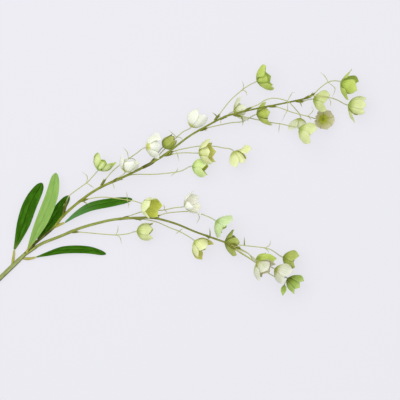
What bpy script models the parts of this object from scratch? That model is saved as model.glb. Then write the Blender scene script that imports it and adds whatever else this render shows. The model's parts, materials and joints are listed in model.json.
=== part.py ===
"""A cut bell-flowered spray stem, lying down: a forked stalk, two sprays of cup-shaped bells and five leaves.

The layout is a plan seen from above, in millimetres, with heights above the surface that the stem lies on.
"""

import math

import bmesh
import bpy
from mathutils import Vector

MM = 0.001
PLAN_CENTRE = (-74.0, -9.0)

STALK_RADIUS = 3.4
STALK_NECK_RADIUS = 2.6
STALK_CUT_RADIUS = 3.0
STALK_SIDES = 8
CUT_END = (-381, -206)
FORK = (-247, -77)
FORK_OVERRUN = 3.0
ARM_LENGTH = 20.0
ARM_MORE = (0.5, 0.25)
SEAT_GAP = 0.35
LEAF_SEAT_GAP = 0.45
STALK_STATIONS = (0.01, 0.5, 0.94)
MERGE_DISTANCE = 0.02

UPPER_RADII = (1.9, 1.1)
LOWER_RADII = (2.1, 1.2)
BRANCH_STEP = 22.0
BRANCH_SIDES = 6
SLEEVE_RADII = (1.5, 2.1, 1.3)

PEDICEL_RADIUS = 0.65
PEDICEL_STEP = 14.0
ROUTE_STEP = 0.8
EASING = 24
SHEATH_LENGTH = 11.0
SHEATH_SHARE = 0.6
SHEATH_ROOM = 1.5
SHEATH_PROFILE = ((0.0, 1.2), (0.35, 1.8), (0.8, 1.5), (1.15, PEDICEL_RADIUS))
COLLAR_RADIUS = 0.85
COLLAR_LENGTH = 5.0
NECK_CLEARANCE = 0.75
CURL_RADII = (0.55, 0.3)
CURL_LIFTS = (1.5, -0.8)
CURL_STEP = 7.0
JOINT_ROOM = 3.0
BRACT_FOOT = 0.45
BRACT_ELBOW = 0.55
BRACT_BULGE = 0.5
BRACT_LENGTH = 6.0
BRACT_SPREAD = 2.6
BRACT_RADII = (0.9, 0.8, 0.3)

PETAL_LENGTH = 28.0
PETAL_THICKNESS = 0.7
PETAL_START = 80.0
PETAL_ROOT_RADIUS = 1.2
PETAL_TURN_END = 0.7
BEND_SHARE = 1.15
BEND_LEAST = 5.0
LINE_PARTS = 50
PETAL_SHINGLE = 1.3
SHINGLE_LEVEL = 0.75
LAP_FROM = 0.5
TWIST_SPAN = ((0.3, 0.0), (0.6, 1.0))
PETAL_HALF_WIDTHS = ((0.0, 1.2), (0.3, 6.8), (0.54, 10.5), (0.74, 9.4), (0.9, 4.2), (1.0, 0.7))
# Each row of a petal: how far along it lies, and how much of the room to the next petal it may take.
PETAL_ROWS = ((0.31, 0.9), (0.52, 1.16), (0.72, 1.16), (0.88, 1.0))
RING_AT = 0.13
CUP_DEPTH = 0.4
CUP_WALL = 0.9

BLADE_COLUMNS = (-1.0, 0.0, 1.0)
LEAF_THICKNESS = 0.9
LEAF_FOLD = 0.16
LEAF_ROWS = 9
LEAF_LINE_STEP = 1.0
LEAF_WIDTHS = ((0.0, 0.16), (0.15, 0.5), (0.35, 0.86), (0.55, 1.0), (0.75, 0.9), (0.9, 0.62), (1.0, 0.3))

ROUGHNESS = 0.5
GREEN = (0.29, 0.35, 0.10)
PALE_GREEN = (0.55, 0.68, 0.25)
WHITE = (0.80, 0.84, 0.70)
LEAF_DARK = (0.03, 0.12, 0.01)
LEAF_LIGHT = (0.23, 0.41, 0.09)

UPPER_PATH = (
    (-247, -77, 3.4), (-230, -59, 7), (-204, -38, 12), (-193, -23, 14.5), (-165, 1, 17), (-139, 18, 20),
    (-103, 34, 23), (-64, 54, 26), (-40, 70, 27), (-17, 88, 28), (7, 102, 28.5), (36, 117, 29),
    (71, 126, 29), (106, 133, 28), (140, 140, 26), (151, 143, 25),
)
LOWER_PATH = (
    (-247, -77, 3.4), (-223, -61, 5.5), (-196, -51, 8.5), (-173, -41, 12), (-146, -33, 16), (-119, -27, 19),
    (-87, -25, 22), (-64, -25, 24), (-31, -34, 26), (-8, -44, 27), (27, -56, 29), (56, -67, 32),
)

# Each leaf: its sleeve on the stalk or branch, the blade's middle line, and half its greatest width.
LEAVES = {
    "leaf_1": dict(sleeve=((-264, -91, 3.6), (-262, -80, 4), (-261, -70, 4)),
                   line=((-256, -57, 6), (-248, -34, 8), (-238, -5, 6), (-222, 24, 2.2)), half_width=10.2,
                   on="stalk"),
    "leaf_2": dict(sleeve=((-244, -75, 4), (-243, -72, 6), (-241.5, -69, 8)),
                   line=((-232, -50, 15), (-219, -24, 20), (-207, 8, 20), (-202, 38, 15)), half_width=9.4,
                   on="stalk"),
    "leaf_3": dict(sleeve=((-232, -61.3, 6.6), (-230.5, -59, 5.2), (-228.5, -56.5, 4.6)),
                   line=((-220, -45, 3.8), (-209, -30, 4.4), (-195, -9, 4.2), (-184, 6, 3)), half_width=7.8,
                   on="upper_branch"),
    "leaf_4": dict(sleeve=((-206, -39, 11.5), (-198, -35, 11.5), (-190, -32, 11)),
                   line=((-172, -19, 12), (-152, -9, 12), (-122, -3, 9), (-95, 1, 6)), half_width=6.4,
                   on="upper_branch"),
    "leaf_5": dict(sleeve=((-250, -82, 3), (-240, -82.5, 3.4), (-231, -80.5, 3.8)),
                   line=((-215, -76, 6), (-190, -70, 8), (-158, -70, 6), (-132, -76, 2.2)), half_width=5.6,
                   on="stalk"),
}

# Each bell: the route of its stalk from the branch to the neck, which point of it bears the curled bracts,
# the bracts' own points in plan, and the way the bell faces: its aim in plan and its rise, in degrees.
# Each petal has its place round the bell, 0 facing up, how far it flares outward in degrees, its shares of
# full length and breadth, how far it may lap over the next one, and how far its outer half twists about its
# own middle line, in degrees. A slim bud's petals turn forward sooner.


def petal(place, flare, share=1.0, breadth=1.0, room=1.0, twist=0.0):
    return dict(place=place % 360.0, flare=flare, share=share, breadth=breadth, room=room, twist=twist)


def even_petals(roll, flare, count=5):
    return [petal(roll + 360.0 / count * k, flare) for k in range(count)]


UPPER_TWIGS = (
    dict(route=[(-192, -21, 14.8), (-186, 1, 16), (-181, 8, 16), (-159, 24, 16), (-154, 29, 16),
                (-143, 41.6, 16)],
         sheath=22.0, joint=3, curls=[[(-158, 33), (-166, 40)], [(-153, 20), (-148, 16)]],
         aim=57, rise=5, size=1.0,
         petals=[petal(45, 4, 1.02, 0.9), petal(-10, 6, 0.72), petal(-46, 12, 0.92), petal(-112, 4, 1.06),
                 petal(120, 10, 0.96), petal(180, 6, 0.75)]),
    dict(route=[(-123, 25, 21), (-113, 32, 27), (-104.5, 39, 31)], joint=0, curls=[[(-119, 15)]],
         aim=66, rise=4, size=0.92,
         petals=[petal(62, 2, 1.08, 0.75), petal(-25, 6, 0.95, 1.15), petal(-85, 8, 0.95),
                 petal(150, 5, 0.85),
                 petal(-150, 10, 1.06)]),
    dict(route=[(-139, 20, 19), (-129, 33, 18), (-121, 42, 16), (-110, 51, 14.5), (-100, 58, 15),
                (-87, 66.5, 27),
                (-81, 71, 38), (-73.8, 74.2, 35.5)], joint=4, curls=[[(-102, 67), (-108, 74)], [(-94, 58),
                (-87, 52)]],
         aim=5, rise=-40, size=1.06,
         petals=[petal(80, 24, 0.9, 1.4, 1.3), petal(-74, 26, 0.8, 0.75), petal(4, 4, 0.66, 1.5, 1.2),
                 petal(150, 20, 0.7), petal(-145, 20, 0.7)]),
    dict(route=[(-69, 51, 25), (-61, 63, 14), (-52, 74, 18)], joint=0, curls=[],
         aim=38, rise=5, size=0.9, turn=0.6, petals=even_petals(20, -16)),
    dict(route=[(-85, 43, 24), (-64, 54, 25), (-55, 66, 16), (-45, 76, 7), (-33, 88, 7.5), (-22, 97, 11),
                (-12.6, 102.2, 16)], joint=4, sheath=30.0, curls=[[(-39, 94), (-44, 98)], [(-28, 88),
                (-24, 84)]],
         aim=58, rise=0, size=1.1,
         petals=[petal(19, 2, 1.08, 0.62), petal(-37, 2, 1.04, 1.2), petal(-82, -4, 0.95),
                 petal(80, 14, 0.72),
                 petal(140, 4, 0.62), petal(-150, 2, 0.75)]),
    dict(route=[(-50, 62, 26), (-39, 64, 26), (-24, 66, 27), (-2, 65.7, 28)], joint=0, curls=[],
         aim=5, rise=14, size=1.0,
         petals=[petal(52, 18, 1.1), petal(2, 4, 0.9, 1.0, 1.2), petal(-50, 16, 1.08), petal(114, 8, 0.9),
                 petal(-116, 8, 1.02), petal(180, 8, 0.98)]),
    dict(route=[(-118, 27, 21), (-101, 34, 20), (-89, 36, 18), (-64, 36, 15), (-34, 39, 15), (-23, 42, 15),
                (-11, 47.4, 14.6)], joint=4, curls=[[(-32, 42), (-31, 45)], [(-38, 36), (-41, 33)]],
         aim=-6, rise=13, size=0.92,
         petals=[petal(26, -8, 1.08), petal(-48, -4, 1.14), petal(98, -8), petal(170, -8),
                 petal(-120, -4, 1.06)]),
    dict(route=[(-48, 64, 25), (-34, 69, 22), (-17, 73, 17), (3, 76, 14), (23, 75, 14), (32, 73, 15),
                (47, 68.6, 17)], joint=1, curls=[[(-31, 62), (-30, 54)]],
         aim=-62, rise=0, size=1.05,
         petals=[petal(56, 66, 1.0, 0.6, 2.2, -58), petal(24, 2, 0.93, 1.05), petal(-24, 10, 1.0, 0.72),
                 petal(-100, -8, 0.7), petal(125, 4, 0.8), petal(180, 4, 0.75)]),
    dict(route=[(20, 111, 28), (26, 118, 28), (31, 125, 27), (43, 140, 24), (59, 154, 20), (69, 161, 18),
                (79.4, 166, 17)], joint=4, curls=[[(61, 159), (59, 167)], [(64, 152), (66, 146)]],
         spurs=[[(24, 116, 28), (21, 119.5, 29), (17, 122.5, 30)]],
         aim=22, rise=10, size=1.06,
         petals=[petal(50, 18, 1.04, 1.25, 1.4), petal(-2, -2, 0.74, 1.2, 1.2), petal(-52, 24, 1.06, 1.1),
                 petal(118, 12, 0.86), petal(-122, 12, 0.84), petal(180, 10, 0.86)]),
    dict(route=[(29, 113, 27), (38, 118.5, 21), (47, 124, 13)], joint=0, curls=[[(29, 106)]],
         aim=15, rise=-5, size=0.88,
         petals=[petal(60, 34, 1.0, 0.75), petal(-4, 8, 0.95), petal(-72, 23), petal(130, 10, 0.7),
                 petal(-145, 10, 0.7)]),
    dict(route=[(0, 97, 27), (11, 101, 23), (28, 105, 18), (45, 108.6, 13), (58, 109.6, 8), (67, 113.5, 8),
                (79, 120, 13.5)],
         joint=0, curls=[], aim=8, rise=0, size=0.92,
         petals=[petal(60, 24, 0.9), petal(2, -4, 0.92, 1.1), petal(-68, 18, 1.08), petal(132, 6, 0.8),
                 petal(-140, 8, 0.8)]),
    dict(route=[(134, 138, 26), (144, 138, 24), (158, 141, 25)], joint=0, curls=[],
         spurs=[[(139, 139.5, 26), (141, 134, 26.5), (143, 129, 27)]],
         aim=-10, rise=-4, size=0.94,
         petals=[petal(34, 12, 1.05, 1.3), petal(-44, 16, 1.05, 0.95), petal(105, 8, 0.85),
                 petal(-122, 8, 0.8),
                 petal(180, 4, 0.75)]),
    dict(route=[(95, 131, 28), (108, 130, 28), (127, 123, 30), (146, 118, 28), (151, 117, 26),
                (162, 114, 12),
                (169.5, 113.2, 3), (172.4, 113.4, 9)], joint=4,
         curls=[[(158, 125), (156, 131)], [(155, 113), (154, 111)]],
         aim=-15, rise=78, size=0.59,
         petals=[petal(50, 44, 0.95, 2.6), petal(112, 42, 1.0, 2.6), petal(172, 44, 1.0, 2.6),
                 petal(-120, 42, 1.0, 2.6), petal(-52, 44, 0.98, 2.6), petal(4, 44, 0.9, 1.2)]),
    dict(route=[(46, 119, 28), (57, 117, 29), (68, 115, 23), (79, 113, 8), (104, 108, 8), (112, 107, 14),
                (127, 103, 30), (138, 100, 37)], joint=5, curls=[[(111, 102), (110, 94)]],
         spurs=[[(58, 116.5, 29), (60, 109, 29), (59, 103, 29)]],
         aim=-26, rise=2, size=1.06,
         petals=[petal(32, 4, 0.99, 1.3), petal(-40, 8, 1.03, 1.0), petal(-104, 8, 0.75, 0.8),
                 petal(110, 6, 0.85),
                 petal(180, 4, 0.8)]),
    dict(route=[(151, 143, 25), (159, 148, 24), (167, 156, 22), (179, 165, 19), (186, 167, 17),
                (197, 166, 16)],
         joint=3, curls=[[(175, 173), (168, 179)], [(189, 156), (185, 144)]],
         aim=-22, rise=4, size=1.1,
         petals=[petal(60, 60, 0.8, 0.8, 1.6), petal(140, 8, 0.98, 1.1), petal(-14, 2, 1.08, 1.15),
                 petal(-66, 26, 0.97, 0.9, 1.4), petal(-135, 8, 0.8)]),
    dict(route=[(146, 142, 26), (156, 145, 36), (168, 145, 40.5), (179, 143, 40.5), (191, 140, 29),
                (207, 133, 16.8)],
         joint=3, curls=[[(182, 136), (181, 129)]],
         aim=-10, rise=0, size=1.06,
         petals=[petal(60, 4, 1.0, 0.9), petal(14, 2, 1.06), petal(-26, 2, 1.05, 0.95),
                 petal(-62, 48, 0.95, 0.55),
                 petal(150, 2, 0.9), petal(-130, 4, 0.8)]),
    dict(route=[(-168, -2, 16), (-154, 2, 17), (-133, 4, 20), (-102, 0, 21), (-94, -1, 22.5),
                (-79.6, -5.6, 25.6)],
         joint=3, curls=[[(-102, 6), (-103, 12)], [(-100, -5), (-100, -11)]],
         spurs=[[(-165, -1, 17), (-160, -4, 18), (-155, -6, 19)]],
         aim=-24, rise=36, size=1.06, petals=even_petals(0, 2)),
    dict(route=[(62, 124, 29), (71, 129, 31), (81, 133, 34), (92, 140, 36), (105, 142, 37), (122, 138, 34),
                (129, 132, 27), (136, 125, 17), (141, 115, 14.8)], joint=5,
         curls=[[(126, 145), (129, 150), (133, 149)], [(122, 126), (118, 118), (114, 109)]],
         aim=-100, rise=-5, size=0.9,
         petals=[petal(-50, 12, 1.06), petal(22, 6, 0.9), petal(95, 6, 0.85), petal(-120, 8, 0.95),
                 petal(165, 5, 0.85)]),
)
LOWER_TWIGS = (
    dict(route=[(-182, -45, 11), (-169, -45, 12), (-146, -47, 14), (-118, -49, 15), (-99, -47, 15),
                (-89, -44, 15)],
         joint=3, curls=[[(-115, -42), (-115, -35)], [(-112, -53), (-110, -62)]],
         aim=-1, rise=2, size=1.0, petals=even_petals(21, -8)),
    dict(route=[(-111, -27, 20), (-98, -22, 18), (-80, -16, 12), (-67, -15, 10), (-50, -14, 14),
                (-37, -11, 20),
                (-22, -9, 24)], joint=4, curls=[[(-50, -10), (-51, -6)], [(-48, -15), (-46, -18)]],
         aim=20, rise=14, size=0.98,
         petals=[petal(75, 10, 1.04, 0.85), petal(-30, 6, 0.64, 0.9), petal(150, 10, 0.98, 1.1),
                 petal(-88, 16, 0.98, 0.85), petal(-150, 12, 0.95)]),
    dict(route=[(-67, -25, 24), (-55, -21, 21), (-44, -18, 17), (-17, -16, 9), (-3, -18, 10), (13, -24, 14),
                (22, -29, 16)], joint=4, curls=[[(-1, -25), (-5, -33)]],
         aim=-34, rise=3, size=1.0,
         petals=[petal(40, 24, 1.05, 1.3), petal(-46, 26, 1.0, 1.35), petal(118, 10, 0.85),
                 petal(-125, 8, 0.75),
                 petal(180, 10, 0.8)]),
    dict(route=[(-92, -26, 21), (-78, -27, 19), (-60, -31, 16), (-42, -39, 14), (-29, -44, 14),
                (-13, -53, 15),
                (-8, -57, 16)], joint=4, curls=[[(-27, -42), (-24, -40)], [(-32, -46), (-34, -48)]],
         aim=-42, rise=7, size=1.0,
         petals=[petal(18, 2, 0.95, 1.25), petal(-56, 8, 1.0, 0.9), petal(115, 4, 1.05, 1.1),
                 petal(-140, 10, 1.15),
                 petal(175, 4, 0.85)]),
    dict(route=[(7, -49, 26.5), (18, -54, 17), (34, -59, 13.5)], joint=0, curls=[],
         spurs=[[(14, -51, 27.2), (14, -44, 28), (13, -38, 29)]],
         aim=-6, rise=-3, size=0.98,
         petals=[petal(62, 46, 0.84, 0.9), petal(8, -2, 0.95, 1.15), petal(-52, 26, 1.0, 1.3),
                 petal(135, 8, 0.75),
                 petal(-138, 8, 0.75)]),
    dict(route=[(46, -64, 31), (60, -70, 28.5), (70, -77, 19), (78, -85, 13.8)], joint=0, curls=[],
         aim=2, rise=-4, size=1.1,
         petals=[petal(8, -2, 1.14, 0.66), petal(-46, 0, 0.7), petal(96, 4, 0.62, 0.8), petal(180, 5, 0.6),
                 petal(-105, 4, 0.65)]),
    dict(route=[(37, -61, 30), (56, -72, 34), (66, -79, 37), (79, -87, 41)], joint=0, curls=[],
         aim=-44, rise=10, size=0.98,
         petals=[petal(14, 6, 0.98, 1.2, 1.2), petal(-54, 12, 1.1, 0.9), petal(112, 14, 1.0, 1.1),
                 petal(170, 8, 0.97), petal(-128, 6, 0.85)]),
    dict(route=[(42, -63, 30.6), (54, -69, 32.6), (66, -74, 31), (79, -84, 31), (92, -90, 31),
                (104, -96, 30)], joint=0, curls=[],
         aim=-27, rise=3, size=1.02,
         petals=[petal(26, 0, 1.1, 1.15), petal(-44, 8, 0.97), petal(105, 5, 0.85), petal(-115, 6, 0.85),
                 petal(180, 3, 0.85)]),
    dict(route=[(40, -61, 30.2), (66, -64, 29), (91, -67, 27), (102, -71, 24), (116, -80, 14)], joint=2,
         curls=[[(97, -63), (99, -55)], [(95, -71), (96, -74)]],
         spurs=[[(62, -64, 29), (62, -57, 29), (62, -51, 29.5)]],
         aim=-16, rise=0, size=0.94,
         petals=[petal(32, 6, 1.04), petal(-40, 4, 0.96), petal(105, 4, 0.85), petal(-112, 4, 0.85),
                 petal(180, 4, 0.85)]),
    dict(route=[(40, -63, 30.2), (49, -69, 33.4), (58, -75, 26), (66, -80, 11), (78, -88, 2),
                (92, -100, 1.5), (108, -109, 5),
                (122.5, -109.5, 14)], joint=0, curls=[],
         aim=-40, rise=0, size=0.98,
         petals=[petal(45, 14, 0.97), petal(2, 4, 0.98, 0.9), petal(-46, 6, 1.0),
                 petal(-62, 60, 1.0, 0.4, 3.0, 58),
                 petal(140, 4, 0.8), petal(-140, 4, 0.8)]),
)
WHITE_BELLS = ("upper_bloom_02", "upper_bloom_03", "upper_bloom_05", "upper_bloom_10",
               "lower_bloom_02", "lower_bloom_07", "lower_bloom_08")


def clear_scene():
    for obj in list(bpy.data.objects):
        bpy.data.objects.remove(obj, do_unlink=True)


def material(name, colour):
    made = bpy.data.materials.new(name)
    made.use_nodes = True
    shader = made.node_tree.nodes["Principled BSDF"]
    shader.inputs["Base Color"].default_value = (*colour, 1.0)
    shader.inputs["Roughness"].default_value = ROUGHNESS
    shader.inputs["Metallic"].default_value = 0.0
    return made


def at(pairs, x):
    """The value at x on a line of (x, value) pairs."""
    for (x0, y0), (x1, y1) in zip(pairs, pairs[1:]):
        if x <= x1:
            return y0 + (y1 - y0) * (x - x0) / (x1 - x0)
    return pairs[-1][1]


def smooth_route(points, step):
    """Points about step apart on a smooth curve through all the given ones."""
    knots = [Vector(p) for p in points]
    knots = [2 * knots[0] - knots[1]] + knots + [2 * knots[-1] - knots[-2]]
    route = []
    for a, b, c, d in zip(knots, knots[1:], knots[2:], knots[3:]):
        parts = max(1, round((c - b).length / step))
        for k in range(parts):
            t = k / parts
            route.append(0.5 * (2 * b + (c - a) * t + (2 * a - 5 * b + 4 * c - d) * t**2
                                + (3 * b - a - 3 * c + d) * t**3))
    return route + [knots[-2]]


def distances(route):
    """How far along the route each of its points lies."""
    run = [0.0]
    for a, b in zip(route, route[1:]):
        run.append(run[-1] + (b - a).length)
    return run


def along(line, run, distance):
    """The place on the line at this distance from its start."""
    for k in range(1, len(line)):
        if run[k] >= distance:
            return line[k - 1].lerp(line[k], (distance - run[k - 1]) / (run[k] - run[k - 1]))
    return line[-1]


def relaxed(line, rounds):
    """The line with its corners eased: each inner point moves half way to the middle of its neighbours."""
    for turn in range(rounds):
        eased = [b.lerp((a + c) / 2, 0.5) for a, b, c in zip(line, line[1:], line[2:])]
        line = [line[0]] + eased + [line[-1]]
    return line


def to_part(point):
    """A plan point in millimetres as a place in the part's frame, in metres."""
    return Vector(((point[0] - PLAN_CENTRE[0]) * MM, (point[1] - PLAN_CENTRE[1]) * MM, point[2] * MM))


def tube(name, route, radii, sides=4, tilt=0.0):
    """A closed tube along the route, made from a bevelled curve."""
    curve = bpy.data.curves.new(name, "CURVE")
    curve.dimensions = "3D"
    curve.bevel_depth = MM
    curve.bevel_resolution = (sides - 4) // 2
    curve.use_fill_caps = True
    spline = curve.splines.new("POLY")
    spline.points.add(len(route) - 1)
    for knot, place, radius in zip(spline.points, route, radii):
        knot.co = (*to_part(place), 1.0)
        knot.radius = radius
        knot.tilt = tilt
    holder = bpy.data.objects.new(name, curve)
    mesh = bpy.data.meshes.new_from_object(holder)
    bpy.data.objects.remove(holder)
    bpy.data.curves.remove(curve)
    mesh.name = name
    made = bmesh.new()
    made.from_mesh(mesh)
    bmesh.ops.remove_doubles(made, verts=made.verts, dist=MERGE_DISTANCE * MM)
    bmesh.ops.recalc_face_normals(made, faces=made.faces)
    bmesh.ops.triangulate(made, faces=made.faces)
    made.to_mesh(mesh)
    made.free()
    return bpy.data.objects.new(name, mesh)


def blade(name, rows, tip, thickness):
    """A thin closed blade through rows of points and a tip, split into triangles alike on both faces."""
    high, wide = len(rows), len(rows[0])
    made = bmesh.new()
    sheets = []
    for side in (0.5, -0.5):
        sheet = []
        for i, row in enumerate(rows):
            for j, point in enumerate(row):
                ahead = rows[i + 1][j] if i + 1 < high else tip
                lengthwise = ahead - rows[max(i - 1, 0)][j]
                across = row[min(j + 1, wide - 1)] - row[max(j - 1, 0)]
                normal = lengthwise.cross(across).normalized()
                sheet.append(made.verts.new(to_part(point + normal * thickness * side)))
        across = rows[-1][-1] - rows[-1][0]
        normal = (tip - rows[-1][wide // 2]).cross(across).normalized()
        sheet.append(made.verts.new(to_part(tip + normal * thickness * side)))
        sheets.append(sheet)
    halves = []
    for i in range(high - 1):
        for j in range(wide - 1):
            a, b, c, d = i * wide + j, i * wide + j + 1, (i + 1) * wide + j + 1, (i + 1) * wide + j
            halves += [(a, b, c), (a, c, d)] if 2 * j >= wide - 1 else [(a, b, d), (b, c, d)]
    point = high * wide
    halves += [((high - 1) * wide + j, (high - 1) * wide + j + 1, point) for j in range(wide - 1)]
    front, back = sheets
    for half in halves:
        made.faces.new([front[k] for k in half])
        made.faces.new([back[k] for k in reversed(half)])
    rim = list(range(wide)) + [i * wide + wide - 1 for i in range(1, high)] + [point]
    rim += [i * wide for i in range(high - 1, 0, -1)]
    for a, b in zip(rim, rim[1:] + rim[:1]):
        made.faces.new((front[b], front[a], back[a]))
        made.faces.new((front[b], back[a], back[b]))
    return closed_object(name, made)


def closed_object(name, made):
    """An object from a finished bmesh, with its faces turned outward."""
    bmesh.ops.recalc_face_normals(made, faces=made.faces)
    mesh = bpy.data.meshes.new(name)
    made.to_mesh(mesh)
    made.free()
    return bpy.data.objects.new(name, mesh)


def fused(name, pieces, look):
    """One closed body from overlapping pieces, by a Boolean union on a collection."""
    body = pieces[0]
    body.name = name
    bpy.context.scene.collection.objects.link(body)
    if len(pieces) > 1:
        others = bpy.data.collections.new(name + "_pieces")
        bpy.context.scene.collection.children.link(others)
        for piece in pieces[1:]:
            others.objects.link(piece)
        union = body.modifiers.new("union", "BOOLEAN")
        union.operation = "UNION"
        union.operand_type = "COLLECTION"
        union.collection = others
        union.solver = "MANIFOLD"
        bpy.context.view_layer.update()
        graph = bpy.context.evaluated_depsgraph_get()
        whole = bpy.data.meshes.new_from_object(body.evaluated_get(graph))
        body.modifiers.remove(union)
        body.data = whole
        for piece in pieces[1:]:
            bpy.data.objects.remove(piece, do_unlink=True)
        bpy.data.collections.remove(others)
    body.data.name = name
    body.data.materials.clear()
    body.data.materials.append(look)
    body.data.shade_smooth()
    body.data.set_sharp_from_angle(angle=math.radians(50))
    return body


def facing(aim, rise):
    """Unit directions of a bell: along its axis, up towards the viewer, and sideways in plan."""
    aim, rise = math.radians(aim), math.radians(rise)
    axis = Vector((math.cos(aim) * math.cos(rise), math.sin(aim) * math.cos(rise), math.sin(rise)))
    side = Vector((-math.sin(aim), math.cos(aim), 0.0))
    return axis, axis.cross(side), side


def petal_line(flare, length, turn_end):
    """The petal's middle line as (place along the axis, distance from it, slope) from root to tip."""
    x, r = CUP_DEPTH, PETAL_ROOT_RADIUS
    line = []
    for k in range(LINE_PARTS + 1):
        turn = min(1.0, k / LINE_PARTS / turn_end)
        slope = math.radians(PETAL_START + (flare - PETAL_START) * turn)
        line.append((x, r, slope))
        x += length / LINE_PARTS * math.cos(slope)
        r += length / LINE_PARTS * math.sin(slope)
    return line


def bulge(line, other):
    """How much wider one petal's line is than another's, compared level with the shorter one's upper part."""
    level = SHINGLE_LEVEL * min(line[-1][0], other[-1][0])
    widths = [min(one, key=lambda station: abs(station[0] - level))[1] for one in (line, other)]
    return widths[0] - widths[1]


def petal_point(neck, directions, azimuth, station, reach, inset, twist):
    """A point of a petal and its inward direction there: reach is sideways, inset towards the axis."""
    axis, up, side = directions
    x, r, slope = station
    turn = math.radians(azimuth)
    outward = math.cos(turn) * up + math.sin(turn) * side
    sideways = math.cos(turn) * side - math.sin(turn) * up
    inward = math.sin(slope) * axis - math.cos(slope) * outward
    turned = math.cos(twist) * sideways + math.sin(twist) * inward
    inward = math.cos(twist) * inward - math.sin(twist) * sideways
    bend = max(BEND_SHARE * r, BEND_LEAST)
    angle = reach / bend
    point = neck + x * axis + r * outward + bend * math.sin(angle) * turned
    normal = math.cos(angle) * inward - math.sin(angle) * turned
    return point + (bend * (1.0 - math.cos(angle)) + inset) * inward, normal


def bloom(name, twig, look):
    """A bell of overlapping petals that grow from one small cup, as a single closed skin."""
    size = twig["size"]
    neck = Vector(twig["route"][-1])
    directions = facing(twig["aim"], twig["rise"])
    turn_end = twig.get("turn", PETAL_TURN_END)
    petals = sorted(twig["petals"], key=lambda one: one["place"])
    count = len(petals)
    lines = [petal_line(one["flare"], PETAL_LENGTH * size * one["share"], turn_end) for one in petals]
    gaps = [(petals[(k + 1) % count]["place"] - petals[k]["place"]) % 360.0 for k in range(count)]
    ring = round(RING_AT * LINE_PARTS)
    made = bmesh.new()

    def pair(point, normal, wall=PETAL_THICKNESS):
        return [made.verts.new(to_part(point - normal * wall * half)) for half in (0.5, -0.5)]

    def on_petal(azimuth, station, reach=0.0, inset=0.0, twist=0.0):
        return pair(*petal_point(neck, directions, azimuth, station, reach, inset, twist))

    def face(sheet, *corners):
        order = corners if sheet == 0 else corners[::-1]
        made.faces.new([corner[sheet] for corner in order])

    floor = pair(neck + directions[0] * (CUP_WALL / 2 - CUP_DEPTH), directions[0], CUP_WALL)
    notches = []
    for k, one in enumerate(petals):
        mean = [(a + b) / 2 for a, b in zip(lines[k][ring], lines[(k + 1) % count][ring])]
        notches.append(on_petal(one["place"] + gaps[k] / 2, mean))
    for k, one in enumerate(petals):
        azimuth, line = one["place"], lines[k]
        insets = (-PETAL_SHINGLE if bulge(line, lines[k - 1]) >= 0 else PETAL_SHINGLE,
                  -PETAL_SHINGLE if bulge(line, lines[(k + 1) % count]) > 0 else PETAL_SHINGLE)
        rows = [[notches[k - 1], on_petal(azimuth, line[ring]), notches[k]]]
        for t, room in PETAL_ROWS:
            station = line[round(t * LINE_PARTS)]
            widest = at(PETAL_HALF_WIDTHS, t) * size * one["breadth"]
            room *= station[1] * (one["room"] if t > LAP_FROM else 1.0)
            reaches = [min(widest, math.radians(gap / 2) * room) for gap in (gaps[k - 1], gaps[k])]
            twist = math.radians(one["twist"]) * at(TWIST_SPAN, t)
            rows.append([on_petal(azimuth, station, -reaches[0], insets[0], twist),
                         on_petal(azimuth, station, twist=twist),
                         on_petal(azimuth, station, reaches[1], insets[1], twist)])
        tip = on_petal(azimuth, line[-1], twist=math.radians(one["twist"]))
        for sheet in (0, 1):
            face(sheet, floor, rows[0][0], rows[0][1])
            face(sheet, floor, rows[0][1], rows[0][2])
            for low, high in zip(rows, rows[1:]):
                face(sheet, low[0], high[0], low[1])
                face(sheet, high[0], high[1], low[1])
                face(sheet, low[1], high[1], high[2])
                face(sheet, low[1], high[2], low[2])
            face(sheet, rows[-1][0], tip, rows[-1][1])
            face(sheet, rows[-1][1], tip, rows[-1][2])
        edge = [row[0] for row in rows] + [tip] + [row[2] for row in reversed(rows)]
        for a, b in zip(edge, edge[1:]):
            made.faces.new((a[0], b[0], b[1]))
            made.faces.new((a[0], b[1], a[1]))
    return fused(name, [closed_object(name, made)], look)


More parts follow.
